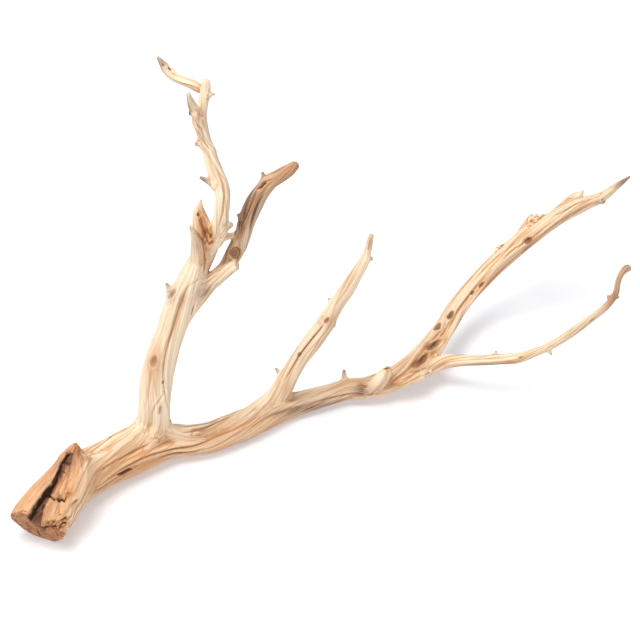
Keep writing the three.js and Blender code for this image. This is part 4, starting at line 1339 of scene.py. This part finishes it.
def grain(across, along, detail=2.0):
    """The same noise in both wood layers, faded across the seams."""
    first, last = [paint.noise(stored(name, "Vector"), across, along, detail)
                   for name in ("log_a", "log_b")]
    return first + (last - first) * second_layer


def thread(noise, width):
    """1 along the thin, long lines where a noise crosses its middle value."""
    return 1 - (noise - 0.5).size().between(0.0, width)


def coated(base, coats):
    """A colour under coats of (share, colour), each over the last."""
    for share, over in coats:
        base = paint.mix(share, base, over)
    return base


streak = grain(1.5, 90)
fine = grain(0.6, 30)
drift = grain(8, 120, 1)
cloud = grain(13, 60, 1)
long_lines = thread(grain(4.2, 260, 0), 0.035)
close_lines = thread(grain(2.3, 160, 0), 0.05)
dark_lines = thread(grain(5.6, 210, 1), 0.02) * drift.between(0.42, 0.56)
proud = stored("ridge_small")
# how far a place lies below the corners round it, for painted shade in grooves and hollows
sunken_for_painted_shade = proud * -1.0
# how proud a place stands, for a painted highlight of cream on the ridges
ridge = (proud * 3.5 + stored("ridge_wide") * 0.8).between(0.0, 1.0)

print("the grain takes", len(paint.tree.nodes), "nodes")

# %% Coats of colour, each over the last
grey = paint.mix(streak.between(0.4, 0.6), GREY_DARK, GREY_BROWN)
heart = paint.mix(streak.between(0.34, 0.6), HEART_DEEP, HEART)
base = coated(paint.mix(streak.between(0.34, 0.62), MIDDLE, CREAM), [
    (drift.between(0.42, 0.66) * 0.7, TAN),
    (cloud.between(0.5, 0.68) * 0.45, AMBER),
    # painted highlight: the ridges are lit cream
    (ridge * 0.8, CREAM),
    # painted shade in the grooves and hollows: tan, then orange, then brown as they deepen
    (stored("groove") * 0.5, TAN),
    (sunken_for_painted_shade.between(0.04, 0.35) * 0.65, ORANGE),
    (sunken_for_painted_shade.between(0.22, 0.7) * 0.5, RECESS_SHADE_BROWN),
    (close_lines * streak.between(0.3, 0.6) * 0.5, ORANGE),
    (long_lines * 0.8, ORANGE),
    (fine.between(0.56, 0.75) * 0.3, ORANGE),
    (dark_lines * 0.7, RED_BROWN),
    (stored("pale") * 0.6, BLEACHED),
    # painted shade, grey-pink, on the faces that look down
    (stored("painted_underside_shade") * 0.5, UNDERSIDE_SHADE_PINK),
    (stored("amber") * (0.55 + streak * 0.6), AMBER),
    # grey weathered wood, with the painted shade of three of its patches
    (stored("weathering_and_painted_shade") * (0.72 + drift * 0.3), grey),
    (stored("tips") * 0.75, grey),
    (stored("warm") * 0.72, heart),
])

eye = stored("eye")
eye_tone = stored("eye_tone")
eye_ring = thread((eye * 2.2 + streak * 0.6).rest(), 0.3)
eye_fill = paint.mix((eye_ring * 0.5).most(streak.between(0.62, 0.4) * 0.4), EYE, DARK)
check = stored("check")
base = coated(base, [
    ((2.2 - eye).between(0.0, 1.0) * eye_ring * eye_tone * 0.45, ORANGE),
    ((1.15 - eye).between(0.0, 0.36) * (eye_tone * 1.1), eye_fill),
    ((0.6 - eye).between(0.0, 0.5) * eye_tone * 0.5, DARK),
    # the checks: an orange-brown edge of the wood's own, then painted shade of dark brown in the
    # crack
    (check.between(0.05, 0.45) * 0.7, ORANGE),
    (check.between(0.35, 0.95), DARK),
])

# painted shade: the low places of torn and sawn wood are darkened to dark brown
torn_wood = coated(paint.mix(streak.between(0.35, 0.6), HEART_RED, HEART),
                   [(sunken_for_painted_shade.between(0.0, 0.25) * 0.8, DARK)])
end_wood = coated(paint.mix((streak + drift).between(0.85, 1.15), HEART_RED, END_WOOD),
                  [(sunken_for_painted_shade.between(0.0, 0.2) * 0.8, DARK)])
base = coated(base, [
    (stored("torn") * 0.95, torn_wood),
    (stored("saw") * 0.9, end_wood),
    (stored("ruddy") * (0.4 + streak.between(0.7, 0.35) * 0.5), RUST),
    (stored("rot") * 0.8, ROT),
    # painted shade: the trough's bottom is nearly black
    (stored("hollow").between(0.15, 0.85) * 0.9, SHADE_BLACK),
    # painted shade: the checks in the heartwood are nearly black
    (check.between(0.55, 0.98) * stored("warm"), SHADE_BLACK),
])

height = streak * 0.5 + fine * 0.3 - close_lines * 0.3 - long_lines * 0.5
normal = paint.node("ShaderNodeBump", {},
                    {"Strength": 0.7, "Distance": 0.8 * MM, "Height": height})
roughness = 0.78 + (streak - 0.5) * 0.2
wood.data.materials.clear()
wood.data.materials.append(paint.finish(Base_Color=base, Roughness=roughness, Normal=normal,
                                        Specular_IOR_Level=0.25))
print("the material has", len(paint.tree.nodes), "nodes")

# %% [markdown]
# ## The studio
#
# The branch lies on a pale floor in soft light from above, a little from the left, so that it
# stands clear and its shadow stays light. The camera looks from 40 degrees above the ground.

# %% Floor, light and camera
FLOOR_SIZE = 12
SENSOR = 36


def aim(made, place, facing):
    """Puts an object in its place and turns it to face a direction."""
    made.location = place
    made.rotation_mode = "QUATERNION"
    made.rotation_quaternion = Vector(facing).to_track_quat("-Z", "Y")


bm = bmesh.new()
bmesh.ops.create_grid(bm, x_segments=2, y_segments=2, size=FLOOR_SIZE)
floor = object_from(bm, "floor")
paper = Maker("pale_paper")
floor.data.materials.append(paper.finish(Base_Color=colour("E4E4E6"), Roughness=0.9,
                                         Specular_IOR_Level=0.0, Emission_Strength=0.27,
                                         Emission_Color=(0.96, 0.98, 1.0, 1.0)))

world = bpy.data.worlds.new("soft_sky")
world.use_nodes = True
sky = world.node_tree.nodes["Background"].inputs
sky["Color"].default_value = (0.92, 0.972, 1.06, 1.0)
sky["Strength"].default_value = 0.47
bpy.context.scene.world = world

# (name, place, width, watts); both lamps face the origin
for name, place, width, power in (("key", (-0.8, -0.3, 2.8), 1.8, 75),
                                  ("fill", (-0.9, -1.6, 1.3), 1.6, 5)):
    light = bpy.data.lights.new(name, "AREA")
    light.size = width
    light.energy = power
    light.color = (1.0, 0.98, 0.95)
    aim(new_object(name, light), place, -Vector(place))

lens = bpy.data.cameras.new("camera")
lens.sensor_width = SENSOR
lens.lens = SENSOR * VIEW_DISTANCE / PICTURE
camera = new_object("camera", lens)
aim(camera, (TO_VIEWER * VIEW_DISTANCE - ORIGIN) * MM, -TO_VIEWER)
bpy.context.scene.camera = camera
bpy.context.scene.view_settings.view_transform = "Standard"

# %% [markdown]
# ## Hand over
#
# The skin stands for the solid model's one part, and rides on its one body.

# %% Bind the skin to the frame
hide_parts("driftwood")
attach(wood, "root")
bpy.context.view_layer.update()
print("all done after", round(time.time() - started, 1), "s")
